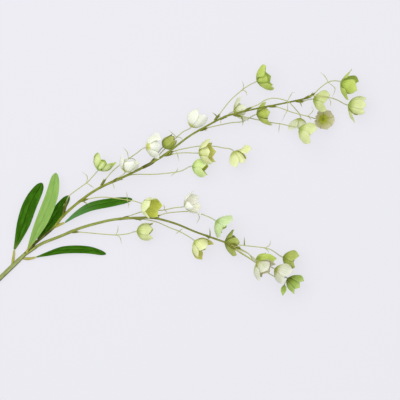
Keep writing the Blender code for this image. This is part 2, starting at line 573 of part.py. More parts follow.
def twig_pieces(name, twig):
    """A flower stalk with its sheath and collar in one tube, its curled bracts, and the bract at its foot."""
    axis = facing(twig["aim"], twig["rise"])[0]
    neck = Vector(twig["route"][-1])
    arrival = (axis + (neck - Vector(twig["route"][-2])).normalized()).normalized()
    knots = [Vector(p) for p in twig["route"][:-1]]
    knots += [neck - arrival * COLLAR_LENGTH, neck - axis * NECK_CLEARANCE]
    if (knots[-3] - knots[-2]).length < COLLAR_LENGTH:
        del knots[-2]
    line = relaxed(smooth_route(knots, ROUTE_STEP), EASING)
    run = distances(line)
    whole = run[-1]
    sheath = min(twig.get("sheath", SHEATH_LENGTH), SHEATH_SHARE * whole)
    profile = [(part * sheath, radius) for part, radius in SHEATH_PROFILE]
    collar = whole - COLLAR_LENGTH
    if collar > profile[-1][0]:
        profile.append((collar, PEDICEL_RADIUS))
    profile.append((whole, COLLAR_RADIUS))
    between = range(1, int((collar - SHEATH_ROOM * sheath) / PEDICEL_STEP) + 1)
    bare = (collar - SHEATH_PROFILE[-1][0] * sheath) / (len(between) + 1)
    places = [a for a, radius in profile] + [SHEATH_PROFILE[-1][0] * sheath + bare * k for k in between]
    joint = Vector(twig["route"][twig["joint"]])
    if twig["curls"]:
        borne = run[min(range(len(line)), key=lambda n: (line[n] - joint).length)]
        joint = along(line, run, borne)
        places = [a for a in places if abs(a - borne) > JOINT_ROOM or a in (0.0, whole)] + [borne]
    places.sort()
    pieces = [tube(name, [along(line, run, a) for a in places], [at(profile, a) for a in places])]
    for k, plan in enumerate(twig["curls"]):
        points = [joint] + [Vector((*p, joint.z + CURL_LIFTS[k] * (n + 1))) for n, p in enumerate(plan)]
        curl = smooth_route(points, CURL_STEP)
        thinning = ((0, CURL_RADII[0]), (len(curl) - 1, CURL_RADII[1]))
        pieces.append(tube(f"{name}_curl_{k}", curl, [at(thinning, n) for n in range(len(curl))]))
    for k, points in enumerate(twig.get("spurs", [])):
        pieces.append(tube(f"{name}_spur_{k}", [Vector(p) for p in points], BRACT_RADII))
    foot = along(line, run, BRACT_FOOT * sheath)
    ahead = (along(line, run, sheath) - foot).normalized()
    outward = ahead.cross(Vector((0, 0, 1))).normalized() * (1 if len(twig["route"]) % 2 else -1)
    tip = foot + ahead * BRACT_LENGTH + outward * BRACT_SPREAD + Vector((0, 0, BRACT_RADII[0]))
    elbow = foot.lerp(tip, BRACT_ELBOW) + outward * BRACT_BULGE
    pieces.append(tube(f"{name}_bract", [foot, elbow, tip], BRACT_RADII))
    return pieces


def sleeve_piece(name):
    points = LEAVES[name]["sleeve"]
    return tube(name + "_sleeve", [Vector(p) for p in points], SLEEVE_RADII, BRANCH_SIDES)


def stalk(look):
    """The straight stalk with a flat underside, the two short arms of its fork, and low leaves' sleeves."""
    flat = math.pi / STALK_SIDES
    height = STALK_RADIUS * math.cos(flat)
    end, fork = Vector((*CUT_END, height)), Vector((*FORK, height))
    beyond = fork + (fork - end).normalized() * FORK_OVERRUN
    run = [end] + [end.lerp(fork, t) for t in STALK_STATIONS] + [beyond]
    radii = [STALK_CUT_RADIUS, STALK_RADIUS, STALK_RADIUS, STALK_RADIUS, STALK_NECK_RADIUS]
    pieces = [tube("stalk", run, radii, STALK_SIDES, flat)]
    for arm, path, radius in (("upper", UPPER_PATH, UPPER_RADII[0]), ("lower", LOWER_PATH, LOWER_RADII[0])):
        first = Vector(path[0])
        ahead = (Vector(path[1]) - first).normalized()
        pieces.append(tube(arm + "_arm", [first - ahead * FORK_OVERRUN, first + ahead * ARM_LENGTH],
                           [radius + more for more in ARM_MORE], BRANCH_SIDES))
    pieces += [sleeve_piece(name) for name, leaf in LEAVES.items() if leaf["on"] == "stalk"]
    return fused("stalk", pieces, look)


def branch(name, path, radii, twigs, look):
    """A spray's branch from the fork's arm to its tip, with its flower stalks and leaf sleeves."""
    first = Vector(path[0])
    ahead = (Vector(path[1]) - first).normalized()
    knots = [first + ahead * (ARM_LENGTH + SEAT_GAP)] + [Vector(p) for p in path[1:]]
    route = smooth_route(knots, BRANCH_STEP)
    whole = distances(route)
    widths = [at(((0.0, radii[0]), (whole[-1], radii[1])), a) for a in whole]
    pieces = [tube(name, route, widths, BRANCH_SIDES)]
    for k, twig in enumerate(twigs):
        pieces += twig_pieces(f"{name}_twig_{k}", twig)
    pieces += [sleeve_piece(leaf_name) for leaf_name, leaf in LEAVES.items() if leaf["on"] == name]
    return fused(name, pieces, look)


def leaf(name, look):
    """A strap-like blade with a folded midrib, from its sleeve's end to a blunt tip."""
    shape = LEAVES[name]
    end = Vector(shape["sleeve"][-1])
    start = end + (end - Vector(shape["sleeve"][-2])).normalized() * LEAF_SEAT_GAP
    line = smooth_route([start] + [Vector(p) for p in shape["line"]], LEAF_LINE_STEP)
    run = distances(line)
    rows = []
    for k in range(LEAF_ROWS):
        t = k / LEAF_ROWS
        place = min(range(len(line)), key=lambda n: abs(run[n] - t * run[-1]))
        low, high = max(place - 2, 0), min(place + 2, len(line) - 1)
        ahead = (line[high] - line[low]).normalized()
        across = ahead.cross(Vector((0, 0, 1))).normalized()
        up = across.cross(ahead)
        half = shape["half_width"] * at(LEAF_WIDTHS, t)
        rows.append([line[place] + across * s * half + up * abs(s) * half * LEAF_FOLD for s in BLADE_COLUMNS])
    return fused(name, [blade(name, rows, line[-1], LEAF_THICKNESS)], look)


clear_scene()
stem_look = material("stem_green", GREEN)
bloom_green = material("bloom_green", PALE_GREEN)
bloom_white = material("bloom_white", WHITE)
leaf_dark = material("leaf_dark", LEAF_DARK)
leaf_light = material("leaf_light", LEAF_LIGHT)
stalk(stem_look)
branch("upper_branch", UPPER_PATH, UPPER_RADII, UPPER_TWIGS, stem_look)
branch("lower_branch", LOWER_PATH, LOWER_RADII, LOWER_TWIGS, stem_look)
for leaf_name in LEAVES:
    leaf(leaf_name, leaf_light if leaf_name == "leaf_2" else leaf_dark)
for spray, twigs in (("upper", UPPER_TWIGS), ("lower", LOWER_TWIGS)):
    for number, twig in enumerate(twigs, 1):
        bell = f"{spray}_bloom_{number:02d}"
        bloom(bell, twig, bloom_white if bell in WHITE_BELLS else bloom_green)
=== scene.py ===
# %% [markdown]
# # A bell-flowered spray stem
#
# The object is one cut stem, laid flat: a stalk that forks low into two arching sprays. Each spray carries
# small cup-shaped bells on wiry stalks, and five strap-like leaves grow near the fork. The solids of the stem
# are already there in true size. This lesson dresses them: every bell, leaf and stalk is modelled again with
# a finer surface in the same place, and then gets its colours.

import json
import math
import random

import bmesh
import bpy
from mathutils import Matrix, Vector

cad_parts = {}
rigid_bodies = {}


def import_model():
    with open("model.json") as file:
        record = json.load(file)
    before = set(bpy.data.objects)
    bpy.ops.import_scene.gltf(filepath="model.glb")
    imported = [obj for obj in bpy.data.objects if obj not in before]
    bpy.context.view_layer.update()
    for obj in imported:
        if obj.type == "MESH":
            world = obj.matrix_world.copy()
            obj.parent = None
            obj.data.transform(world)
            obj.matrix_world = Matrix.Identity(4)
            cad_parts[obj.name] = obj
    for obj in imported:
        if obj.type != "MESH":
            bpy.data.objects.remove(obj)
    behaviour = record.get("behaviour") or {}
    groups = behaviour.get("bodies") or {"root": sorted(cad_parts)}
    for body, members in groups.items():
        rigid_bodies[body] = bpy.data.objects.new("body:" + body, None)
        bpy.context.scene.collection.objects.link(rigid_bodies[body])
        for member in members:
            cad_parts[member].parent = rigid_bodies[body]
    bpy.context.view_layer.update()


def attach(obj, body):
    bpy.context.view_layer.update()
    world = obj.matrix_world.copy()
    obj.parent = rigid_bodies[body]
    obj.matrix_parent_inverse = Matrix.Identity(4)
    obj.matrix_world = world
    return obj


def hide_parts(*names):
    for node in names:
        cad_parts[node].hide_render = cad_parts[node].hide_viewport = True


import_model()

# %% [markdown]
# ## The plan of the stem
#
# A spray has hardly any straight lines, so its layout is a list of given places. They are in
# millimetres, seen from above, with a third number for the height above the table. The origin of the plan
# is moved to the part's own origin when a place is used. The same numbers give the solids their places, so
# everything made here lies where its solid lies.

# %% The branches and the leaves
MM = 0.001
PLAN_CENTRE = (-74.0, -9.0)
CUT_END, FORK = (-381, -206), (-247, -77)
PATHS = {
    "upper": (
        (-247, -77, 3.4), (-230, -59, 7), (-204, -38, 12), (-193, -23, 14.5), (-165, 1, 17), (-139, 18, 20),
        (-103, 34, 23), (-64, 54, 26), (-40, 70, 27), (-17, 88, 28), (7, 102, 28.5), (36, 117, 29),
        (71, 126, 29), (106, 133, 28), (140, 140, 26), (151, 143, 25)),
    "lower": (
        (-247, -77, 3.4), (-223, -61, 5.5), (-196, -51, 8.5), (-173, -41, 12), (-146, -33, 16),
        (-119, -27, 19), (-87, -25, 22), (-64, -25, 24), (-31, -34, 26), (-8, -44, 27), (27, -56, 29),
        (56, -67, 32)),
}
LEAVES = {
    "leaf_1": dict(sleeve=((-264, -91, 3.6), (-262, -80, 4), (-261, -70, 4)), half_width=10.2, on="stalk",
                   line=((-256, -57, 6), (-248, -34, 8), (-238, -5, 6), (-222, 24, 2.2))),
    "leaf_2": dict(sleeve=((-244, -75, 4), (-243, -72, 6), (-241.5, -69, 8)), half_width=9.4, on="stalk",
                   line=((-232, -50, 15), (-219, -24, 20), (-207, 8, 20), (-202, 38, 15))),
    "leaf_3": dict(sleeve=((-232, -61.3, 6.6), (-230.5, -59, 5.2), (-228.5, -56.5, 4.6)), half_width=7.8,
                   line=((-220, -45, 3.8), (-209, -30, 4.4), (-195, -9, 4.2), (-184, 6, 3)),
                   on="upper_branch"),
    "leaf_4": dict(sleeve=((-206, -39, 11.5), (-198, -35, 11.5), (-190, -32, 11)), half_width=6.4,
                   line=((-172, -19, 12), (-152, -9, 12), (-122, -3, 9), (-95, 1, 6)), on="upper_branch"),
    "leaf_5": dict(sleeve=((-250, -82, 3), (-240, -82.5, 3.4), (-231, -80.5, 3.8)), half_width=5.6,
                   line=((-215, -76, 6), (-190, -70, 8), (-158, -70, 6), (-132, -76, 2.2)), on="stalk"),
}
print([len(path) for path in PATHS.values()], "places for the branches,", len(LEAVES), "leaves")

# %% [markdown]
# Each bell hangs on a twig of its own. A twig says where its stalk runs, from the branch to the neck of the
# bell, which of those places (the first, if none is named) carries the pair of thin curled bracts, and where
# the bracts' own tips go. A few sheaths are longer or more swollen than the rest, and some twigs bear a spur.
#
# The bell is given by the way it looks out (its aim in plan and its rise), by its size, and by its petals. A
# petal is a short row of numbers: its place round the bell, counted from the top, its outward lean in degrees,
# its share of full length, its breadth, how far it laps over its neighbours, and a twist about its own middle
# line, for a petal that leans out so far that it would be seen edge-on. What isn't given is as usual. One
# bell is still a slim bud: its petals turn forward sooner.

# %% The twigs of the upper spray
TWIGS = {}


def even_petals(roll, flare, count=5):
    """Petals that are all alike, evenly spaced."""
    return [(roll + 360.0 / count * k, flare) for k in range(count)]


TWIGS["upper"] = (
    dict(route=[(-192, -21, 14.8), (-186, 1, 16), (-181, 8, 16), (-159, 24, 16), (-154, 29, 16),
         (-143, 41.6, 16)],
         sheath=22.0, swollen=1.25, joint=3, curls=[[(-158, 33), (-166, 40)], [(-153, 20), (-148, 16)]],
         aim=57, rise=5, size=1.0, petals=[(45, 4, 1.02, 0.9), (-10, 6, 0.72), (-46, 12, 0.92),
         (-112, 4, 1.06), (120, 10, 0.96), (180, 6, 0.75)]),
    dict(route=[(-123, 25, 21), (-113, 32, 27), (-104.5, 39, 31)],
         curls=[[(-119, 15)]],
         aim=66, rise=4, size=0.92, petals=[(62, 2, 1.08, 0.75), (-25, 6, 0.95, 1.15), (-85, 8, 0.95),
         (150, 5, 0.85), (-150, 10, 1.06)]),
    dict(route=[(-139, 20, 19), (-129, 33, 18), (-121, 42, 16), (-110, 51, 14.5), (-100, 58, 15),
         (-87, 66.5, 27), (-81, 71, 38), (-73.8, 74.2, 35.5)],
         joint=4, curls=[[(-102, 67), (-108, 74)], [(-94, 58), (-87, 52)]],
         aim=5, rise=-40, size=1.06, petals=[(80, 24, 0.9, 1.4, 1.3), (-74, 26, 0.8, 0.75),
         (4, 4, 0.66, 1.5, 1.2), (150, 20, 0.7), (-145, 20, 0.7)]),
    dict(route=[(-69, 51, 25), (-61, 63, 14), (-52, 74, 18)],
         aim=38, rise=5, size=0.9, turn=0.6, petals=even_petals(20, -16)),
    dict(route=[(-85, 43, 24), (-64, 54, 25), (-55, 66, 16), (-45, 76, 7), (-33, 88, 7.5), (-22, 97, 11),
         (-12.6, 102.2, 16)],
         sheath=30.0, swollen=1.3, joint=4, curls=[[(-39, 94), (-44, 98)], [(-28, 88), (-24, 84)]],
         aim=58, rise=0, size=1.1, petals=[(19, 2, 1.08, 0.62), (-37, 2, 1.04, 1.2), (-82, -4, 0.95),
         (80, 14, 0.72), (140, 4, 0.62), (-150, 2, 0.75)]),
    dict(route=[(-50, 62, 26), (-39, 64, 26), (-24, 66, 27), (-2, 65.7, 28)],
         aim=5, rise=14, size=1.0, petals=[(52, 18, 1.1), (2, 4, 0.9, 1.0, 1.2), (-50, 16, 1.08),
         (114, 8, 0.9), (-116, 8, 1.02), (180, 8, 0.98)]),
    dict(route=[(-118, 27, 21), (-101, 34, 20), (-89, 36, 18), (-64, 36, 15), (-34, 39, 15), (-23, 42, 15),
         (-11, 47.4, 14.6)],
         joint=4, curls=[[(-32, 42), (-31, 45)], [(-38, 36), (-41, 33)]],
         aim=-6, rise=13, size=0.92, petals=[(26, -8, 1.08), (-48, -4, 1.14), (98, -8), (170, -8),
         (-120, -4, 1.06)]),
    dict(route=[(-48, 64, 25), (-34, 69, 22), (-17, 73, 17), (3, 76, 14), (23, 75, 14), (32, 73, 15),
         (47, 68.6, 17)],
         joint=1, curls=[[(-31, 62), (-30, 54)]],
         aim=-62, rise=0, size=1.05, petals=[(56, 66, 1.0, 0.6, 2.2, -58), (24, 2, 0.93, 1.05),
         (-24, 10, 1.0, 0.72), (-100, -8, 0.7), (125, 4, 0.8), (180, 4, 0.75)]),
    dict(route=[(20, 111, 28), (26, 118, 28), (31, 125, 27), (43, 140, 24), (59, 154, 20), (69, 161, 18),
         (79.4, 166, 17)],
         joint=4, curls=[[(61, 159), (59, 167)], [(64, 152), (66, 146)]], spurs=[[(24, 116, 28),
         (21, 119.5, 29), (17, 122.5, 30)]],
         aim=22, rise=10, size=1.06, petals=[(50, 18, 1.04, 1.25, 1.4), (-2, -2, 0.74, 1.2, 1.2),
         (-52, 24, 1.06, 1.1), (118, 12, 0.86), (-122, 12, 0.84), (180, 10, 0.86)]),
    dict(route=[(29, 113, 27), (38, 118.5, 21), (47, 124, 13)],
         curls=[[(29, 106)]],
         aim=15, rise=-5, size=0.88, petals=[(60, 34, 1.0, 0.75), (-4, 8, 0.95), (-72, 23), (130, 10, 0.7),
         (-145, 10, 0.7)]),
    dict(route=[(0, 97, 27), (11, 101, 23), (28, 105, 18), (45, 108.6, 13), (58, 109.6, 8), (67, 113.5, 8),
         (79, 120, 13.5)],
         aim=8, rise=0, size=0.92, petals=[(60, 24, 0.9), (2, -4, 0.92, 1.1), (-68, 18, 1.08), (132, 6, 0.8),
         (-140, 8, 0.8)]),
    dict(route=[(134, 138, 26), (144, 138, 24), (158, 141, 25)],
         spurs=[[(139, 139.5, 26), (141, 134, 26.5), (143, 129, 27)]],
         aim=-10, rise=-4, size=0.94, petals=[(34, 12, 1.05, 1.3), (-44, 16, 1.05, 0.95), (105, 8, 0.85),
         (-122, 8, 0.8), (180, 4, 0.75)]),
    dict(route=[(95, 131, 28), (108, 130, 28), (127, 123, 30), (146, 118, 28), (151, 117, 26), (162, 114, 12),
         (169.5, 113.2, 3), (172.4, 113.4, 9)],
         joint=4, curls=[[(158, 125), (156, 131)], [(155, 113), (154, 111)]],
         aim=-15, rise=78, size=0.59, petals=[(50, 44, 0.95, 2.6), (112, 42, 1.0, 2.6), (172, 44, 1.0, 2.6),
         (-120, 42, 1.0, 2.6), (-52, 44, 0.98, 2.6), (4, 44, 0.9, 1.2)]),
    dict(route=[(46, 119, 28), (57, 117, 29), (68, 115, 23), (79, 113, 8), (104, 108, 8), (112, 107, 14),
         (127, 103, 30), (138, 100, 37)],
         joint=5, curls=[[(111, 102), (110, 94)]], spurs=[[(58, 116.5, 29), (60, 109, 29), (59, 103, 29)]],
         aim=-26, rise=2, size=1.06, petals=[(32, 4, 0.99, 1.3), (-40, 8, 1.03), (-104, 8, 0.75, 0.8),
         (110, 6, 0.85), (180, 4, 0.8)]),
    dict(route=[(151, 143, 25), (159, 148, 24), (167, 156, 22), (179, 165, 19), (186, 167, 17),
         (197, 166, 16)],
         joint=3, curls=[[(175, 173), (168, 179)], [(189, 156), (185, 144)]],
         aim=-22, rise=4, size=1.1, petals=[(60, 60, 0.8, 0.8, 1.6), (140, 8, 0.98, 1.1),
         (-14, 2, 1.08, 1.15), (-66, 26, 0.97, 0.9, 1.4), (-135, 8, 0.8)]),
    dict(route=[(146, 142, 26), (156, 145, 36), (168, 145, 40.5), (179, 143, 40.5), (191, 140, 29),
         (207, 133, 16.8)],
         joint=3, curls=[[(182, 136), (181, 129)]],
         aim=-10, rise=0, size=1.06, petals=[(60, 4, 1.0, 0.9), (14, 2, 1.06), (-26, 2, 1.05, 0.95),
         (-62, 48, 0.95, 0.55), (150, 2, 0.9), (-130, 4, 0.8)]),
    dict(route=[(-168, -2, 16), (-154, 2, 17), (-133, 4, 20), (-102, 0, 21), (-94, -1, 22.5),
         (-79.6, -5.6, 25.6)],
         joint=3, curls=[[(-102, 6), (-103, 12)], [(-100, -5), (-100, -11)]], spurs=[[(-165, -1, 17),
         (-160, -4, 18), (-155, -6, 19)]],
         aim=-24, rise=36, size=1.06, petals=even_petals(0, 2)),
    dict(route=[(62, 124, 29), (71, 129, 31), (81, 133, 34), (92, 140, 36), (105, 142, 37), (122, 138, 34),
         (129, 132, 27), (136, 125, 17), (141, 115, 14.8)],
         joint=5, curls=[[(126, 145), (129, 150), (133, 149)], [(122, 126), (118, 118), (114, 109)]],
         aim=-100, rise=-5, size=0.9, petals=[(-50, 12, 1.06), (22, 6, 0.9), (95, 6, 0.85), (-120, 8, 0.95),
         (165, 5, 0.85)]),
)
print(len(TWIGS["upper"]), "twigs on the upper spray")

# %% The twigs of the lower spray
TWIGS["lower"] = (
    dict(route=[(-182, -45, 11), (-169, -45, 12), (-146, -47, 14), (-118, -49, 15), (-99, -47, 15),
         (-89, -44, 15)],
         joint=3, curls=[[(-115, -42), (-115, -35)], [(-112, -53), (-110, -62)]],
         aim=-1, rise=2, size=1.0, petals=even_petals(21, -8)),
    dict(route=[(-111, -27, 20), (-98, -22, 18), (-80, -16, 12), (-67, -15, 10), (-50, -14, 14),
         (-37, -11, 20), (-22, -9, 24)],
         joint=4, curls=[[(-50, -10), (-51, -6)], [(-48, -15), (-46, -18)]],
         aim=20, rise=14, size=0.98, petals=[(75, 10, 1.04, 0.85), (-30, 6, 0.64, 0.9), (150, 10, 0.98, 1.1),
         (-88, 16, 0.98, 0.85), (-150, 12, 0.95)]),
    dict(route=[(-67, -25, 24), (-55, -21, 21), (-44, -18, 17), (-17, -16, 9), (-3, -18, 10), (13, -24, 14),
         (22, -29, 16)],
         joint=4, curls=[[(-1, -25), (-5, -33)]],
         aim=-34, rise=3, size=1.0, petals=[(40, 24, 1.05, 1.3), (-46, 26, 1.0, 1.35), (118, 10, 0.85),
         (-125, 8, 0.75), (180, 10, 0.8)]),
    dict(route=[(-92, -26, 21), (-78, -27, 19), (-60, -31, 16), (-42, -39, 14), (-29, -44, 14),
         (-13, -53, 15), (-8, -57, 16)],
         joint=4, curls=[[(-27, -42), (-24, -40)], [(-32, -46), (-34, -48)]],
         aim=-42, rise=7, size=1.0, petals=[(18, 2, 0.95, 1.25), (-56, 8, 1.0, 0.9), (115, 4, 1.05, 1.1),
         (-140, 10, 1.15), (175, 4, 0.85)]),
    dict(route=[(7, -49, 26.5), (18, -54, 17), (34, -59, 13.5)],
         spurs=[[(14, -51, 27.2), (14, -44, 28), (13, -38, 29)]],
         aim=-6, rise=-3, size=0.98, petals=[(62, 46, 0.84, 0.9), (8, -2, 0.95, 1.15), (-52, 26, 1.0, 1.3),
         (135, 8, 0.75), (-138, 8, 0.75)]),
    dict(route=[(46, -64, 31), (60, -70, 28.5), (70, -77, 19), (78, -85, 13.8)],
         aim=2, rise=-4, size=1.1, petals=[(8, -2, 1.14, 0.66), (-46, 0, 0.7), (96, 4, 0.62, 0.8),
         (180, 5, 0.6), (-105, 4, 0.65)]),
    dict(route=[(37, -61, 30), (56, -72, 34), (66, -79, 37), (79, -87, 41)],
         aim=-44, rise=10, size=0.98, petals=[(14, 6, 0.98, 1.2, 1.2), (-54, 12, 1.1, 0.9),
         (112, 14, 1.0, 1.1), (170, 8, 0.97), (-128, 6, 0.85)]),
    dict(route=[(42, -63, 30.6), (54, -69, 32.6), (66, -74, 31), (79, -84, 31), (92, -90, 31),
         (104, -96, 30)],
         aim=-27, rise=3, size=1.02, petals=[(26, 0, 1.1, 1.15), (-44, 8, 0.97), (105, 5, 0.85),
         (-115, 6, 0.85), (180, 3, 0.85)]),
    dict(route=[(40, -61, 30.2), (66, -64, 29), (91, -67, 27), (102, -71, 24), (116, -80, 14)],
         joint=2, curls=[[(97, -63), (99, -55)], [(95, -71), (96, -74)]], spurs=[[(62, -64, 29),
         (62, -57, 29), (62, -51, 29.5)]],
         aim=-16, rise=0, size=0.94, petals=[(32, 6, 1.04), (-40, 4, 0.96), (105, 4, 0.85), (-112, 4, 0.85),
         (180, 4, 0.85)]),
    dict(route=[(40, -63, 30.2), (49, -69, 33.4), (58, -75, 26), (66, -80, 11), (78, -88, 2), (92, -100, 1.5),
         (108, -109, 5), (122.5, -109.5, 14)],
         aim=-40, rise=0, size=0.98, petals=[(45, 14, 0.97), (2, 4, 0.98, 0.9), (-46, 6),
         (-62, 60, 1.0, 0.4, 3.0, 58), (140, 4, 0.8), (-140, 4, 0.8)]),
)
print(len(TWIGS["lower"]), "twigs on the lower spray")

# %% [markdown]
# ## Curves through listed places
#
# A few helpers turn the listed places into smooth curves. `smooth_route` draws a curve through all the
# places, `relaxed` eases its corners, `distances` and `along` find a place by how far it is from the start,
# and `at` reads a value from a short list of pairs. With them a thickness or a tint can be given at a few
# stations and read anywhere.

# %% Helpers for routes


def to_part(point):
    """A plan point in millimetres as a place in the part's frame, in metres."""
    return Vector(((point[0] - PLAN_CENTRE[0]) * MM, (point[1] - PLAN_CENTRE[1]) * MM, point[2] * MM))


def smooth_route(points, step):
    """Points about step apart on a smooth curve through all the given ones."""
    knots = [Vector(p) for p in points]
    knots = [2 * knots[0] - knots[1]] + knots + [2 * knots[-1] - knots[-2]]
    route = []
    for a, b, c, d in zip(knots, knots[1:], knots[2:], knots[3:]):
        parts = max(1, round((c - b).length / step))
        for k in range(parts):
            t = k / parts
            route.append(0.5 * (2 * b + (c - a) * t + (2 * a - 5 * b + 4 * c - d) * t**2
                                + (3 * b - a - 3 * c + d) * t**3))
    return route + [knots[-2]]


def relaxed(line, rounds):
    """The line with its corners eased: each inner point moves half way to the middle of its neighbours."""
    for turn in range(rounds):
        line = [line[0]] + [b.lerp((a + c) / 2, 0.5) for a, b, c in zip(line, line[1:], line[2:])] + [line[-1]]
    return line


def distances(route):
    """How far along the route each of its points lies."""
    run = [0.0]
    for a, b in zip(route, route[1:]):
        run.append(run[-1] + (b - a).length)
    return run


def along(line, run, distance):
    """The place on the line at this distance from its start."""
    for k in range(1, len(line)):
        if run[k] >= distance:
            return line[k - 1].lerp(line[k], (distance - run[k - 1]) / (run[k] - run[k - 1]))
    return line[-1]


def nearest(points, place):
    """The number of the point that lies nearest to a place."""
    return min(range(len(points)), key=lambda n: (points[n] - place).length)


def at(pairs, x):
    """The value at x on a line of (x, value) pairs, eased between them. A value may be a number or a colour."""
    for (x0, y0), (x1, y1) in zip(pairs, pairs[1:]):
        if x <= x1:
            t = max(0.0, (x - x0) / (x1 - x0))
            t = t * t * (3 - 2 * t)
            return y0.lerp(y1, t) if isinstance(y0, Vector) else y0 + (y1 - y0) * t
    return pairs[-1][1]


print(f"the upper branch is {distances(smooth_route(PATHS['upper'], 2.0))[-1]:.0f} mm long")

# %% [markdown]
# ## Working by hand, in code
#
# The steps that a modeller takes with the mouse are operators in code. Two things have to be looked after: an
# operator acts on whatever is selected, and its result is the active object. These helpers clear the
# selection first, pick vertices by their place, and link, copy and join objects.

# %% Helpers for operators


def deselect_all():
    for obj in bpy.context.view_layer.objects:
        obj.select_set(False)


def choose(*objects):
    """Selects only these objects, and makes the first one active."""
    deselect_all()
    for obj in objects:
        obj.select_set(True)
    bpy.context.view_layer.objects.active = objects[0]


def select_vertices(obj, wanted):
    """In edit mode: selects the vertices for which wanted(place) is true, and returns how many."""
    mesh = bmesh.from_edit_mesh(obj.data)
    for vertex in mesh.verts:
        vertex.select = wanted(vertex.co)
    mesh.select_flush_mode()
    bmesh.update_edit_mesh(obj.data)
    return sum(vertex.select for vertex in mesh.verts)


def linked(obj):
    """Puts a new object into the scene."""
    bpy.context.scene.collection.objects.link(obj)
    return obj


def copied(pattern):
    """A copy of an object, with a mesh of its own."""
    obj = pattern.copy()
    obj.data = pattern.data.copy()
    return linked(obj)


def joined(name, objects):
    """One object from several."""
    choose(*objects)
    if len(objects) > 1:
        bpy.ops.object.join()
    objects[0].name = objects[0].data.name = name
    return objects[0]


deselect_all()
print("nothing is selected")

# %% [markdown]
# Two more steps come again and again. A thin sheet, such as a petal or a leaf, gets its wall and a finer
# surface from two modifiers, which are applied. And every finished piece is laid on the table, where nothing
# may dip below it, shaded smooth, and put in the place of its solid.

# %% Helpers that finish a piece


def walled(sheet, thickness, outer_slot=0):
    """Gives a sheet its wall, with the outer side in its own material slot, and rounds its rims."""
    wall = sheet.modifiers.new("wall", "SOLIDIFY")
    wall.thickness = thickness * MM
    wall.offset = 0.0
    wall.material_offset = wall.material_offset_rim = outer_slot
    finer = sheet.modifiers.new("finer", "SUBSURF")
    finer.levels = finer.render_levels = 1
    choose(sheet)
    for modifier in ("wall", "finer"):
        bpy.ops.object.modifier_apply(modifier=modifier)


def dressed(piece, node, slot, angle):
    """Rests a piece on the table, shades it smooth up to an angle, and lets it stand for its solid."""
    for vertex in piece.data.vertices:
        vertex.co.z = max(vertex.co.z, 0.0)
    choose(piece)
    bpy.ops.object.shade_smooth_by_angle(angle=math.radians(angle))
    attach(piece, "root")
    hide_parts(node)
    return piece


# %% [markdown]
# ## Shader maths as expressions
#
# A material is a graph of nodes, and most of its maths is plain arithmetic on sockets. The class `Wire` holds
# one socket and adds a Math node for each operator, so a mask can be written as `1 - edge * 0.5`. A `Recipe`
# is one material with one method for every other kind of node, and one that mixes two colours.

# %% Wires


class Wire:
    """A socket in a material, with arithmetic."""

    def __init__(self, recipe, socket):
        self.recipe, self.socket = recipe, socket

    def __add__(self, other):
        return self.recipe.maths("ADD", self, other)

    def __sub__(self, other):
        return self.recipe.maths("SUBTRACT", self, other)

    def __rsub__(self, other):
        return self.recipe.maths("SUBTRACT", other, self)

    def __mul__(self, other):
        return self.recipe.maths("MULTIPLY", self, other)

    def __pow__(self, other):
        return self.recipe.maths("POWER", self, other)

    __radd__, __rmul__ = __add__, __mul__


print("wires can be added, subtracted, multiplied and raised to a power")

# %% Recipes


class Recipe:
    """One material, built up node by node on its Principled shader."""

    def __init__(self, name, **constants):
        self.material = bpy.data.materials.new(name)
        self.material.use_nodes = True
        self.tree = self.material.node_tree
        self.shader = self.tree.nodes["Principled BSDF"]
        self.feed(**constants)

    def plug(self, socket, value):
        """Gives a socket a number, a colour or a wire."""
        if isinstance(value, Wire):
            self.tree.links.new(value.socket, socket)
        else:
            socket.default_value = (*value, 1.0) if isinstance(value, Vector) else value

    def feed(self, **values):
        """Gives the shader's own sockets their values, and returns the material."""
        for socket, value in values.items():
            self.plug(self.shader.inputs[socket.replace("_", " ")], value)
        return self.material

    def node(self, kind, output=0, settings=(), **values):
        """Any node: its type, its settings, and what its sockets get, by name or as _ and number."""
        made = self.tree.nodes.new("ShaderNode" + kind)
        for setting, value in dict(settings).items():
            setattr(made, setting, value)
        for key, value in values.items():
            place = int(key[1:]) if key[1:].isdigit() else key.replace("_", " ")
            self.plug(made.inputs[place], value)
        return Wire(self, made.outputs[output])

    def maths(self, operation, *values):
        settings = {"operation": operation}
        return self.node("Math", settings=settings, **{f"_{k}": value for k, value in enumerate(values)})

    def blend(self, share, low, high, how="MIX"):
        """A colour between low and high."""
        settings = {"data_type": "RGBA", "blend_type": how, "clamp_factor": True}
        return self.node("Mix", 2, settings, _0=share, _6=low, _7=high)

    def ramp(self, value, start, end):
        """0 up to start, 1 from end on, eased between."""
        settings = {"interpolation_type": "SMOOTHSTEP"}
        return self.node("MapRange", settings=settings, Value=value, From_Min=start, From_Max=end)

    def noise(self, place, scale, detail=2.0):
        return self.node("TexNoise", Vector=place, Scale=scale, Detail=detail)

    def stretched(self, place, across, lengthwise):
        """The place with its two directions scaled apart, for fibres that run along a piece."""
        settings = {"operation": "MULTIPLY"}
        return self.node("VectorMath", settings=settings, _0=place, _1=(across, lengthwise, 1.0))

    def own_map(self):
        """The piece's UV map, and from it how far across and how far up a point lies."""
        uv = self.node("UVMap")
        return uv, self.node("SeparateXYZ", "X", Vector=uv), self.node("SeparateXYZ", "Y", Vector=uv)

    def bump(self, height, distance, strength):
        return self.node("Bump", Height=height, Distance=distance, Strength=strength)


def tint(red, green, blue):
    """A colour as it reads on a screen, 0 to 255, turned to the linear values that a shader wants."""
    return Vector([(c / 255 / 12.92) if c <= 10 else ((c / 255 + 0.055) / 1.055) ** 2.4
                   for c in (red, green, blue)])


print("white is", [round(c, 2) for c in tint(236, 239, 227)])

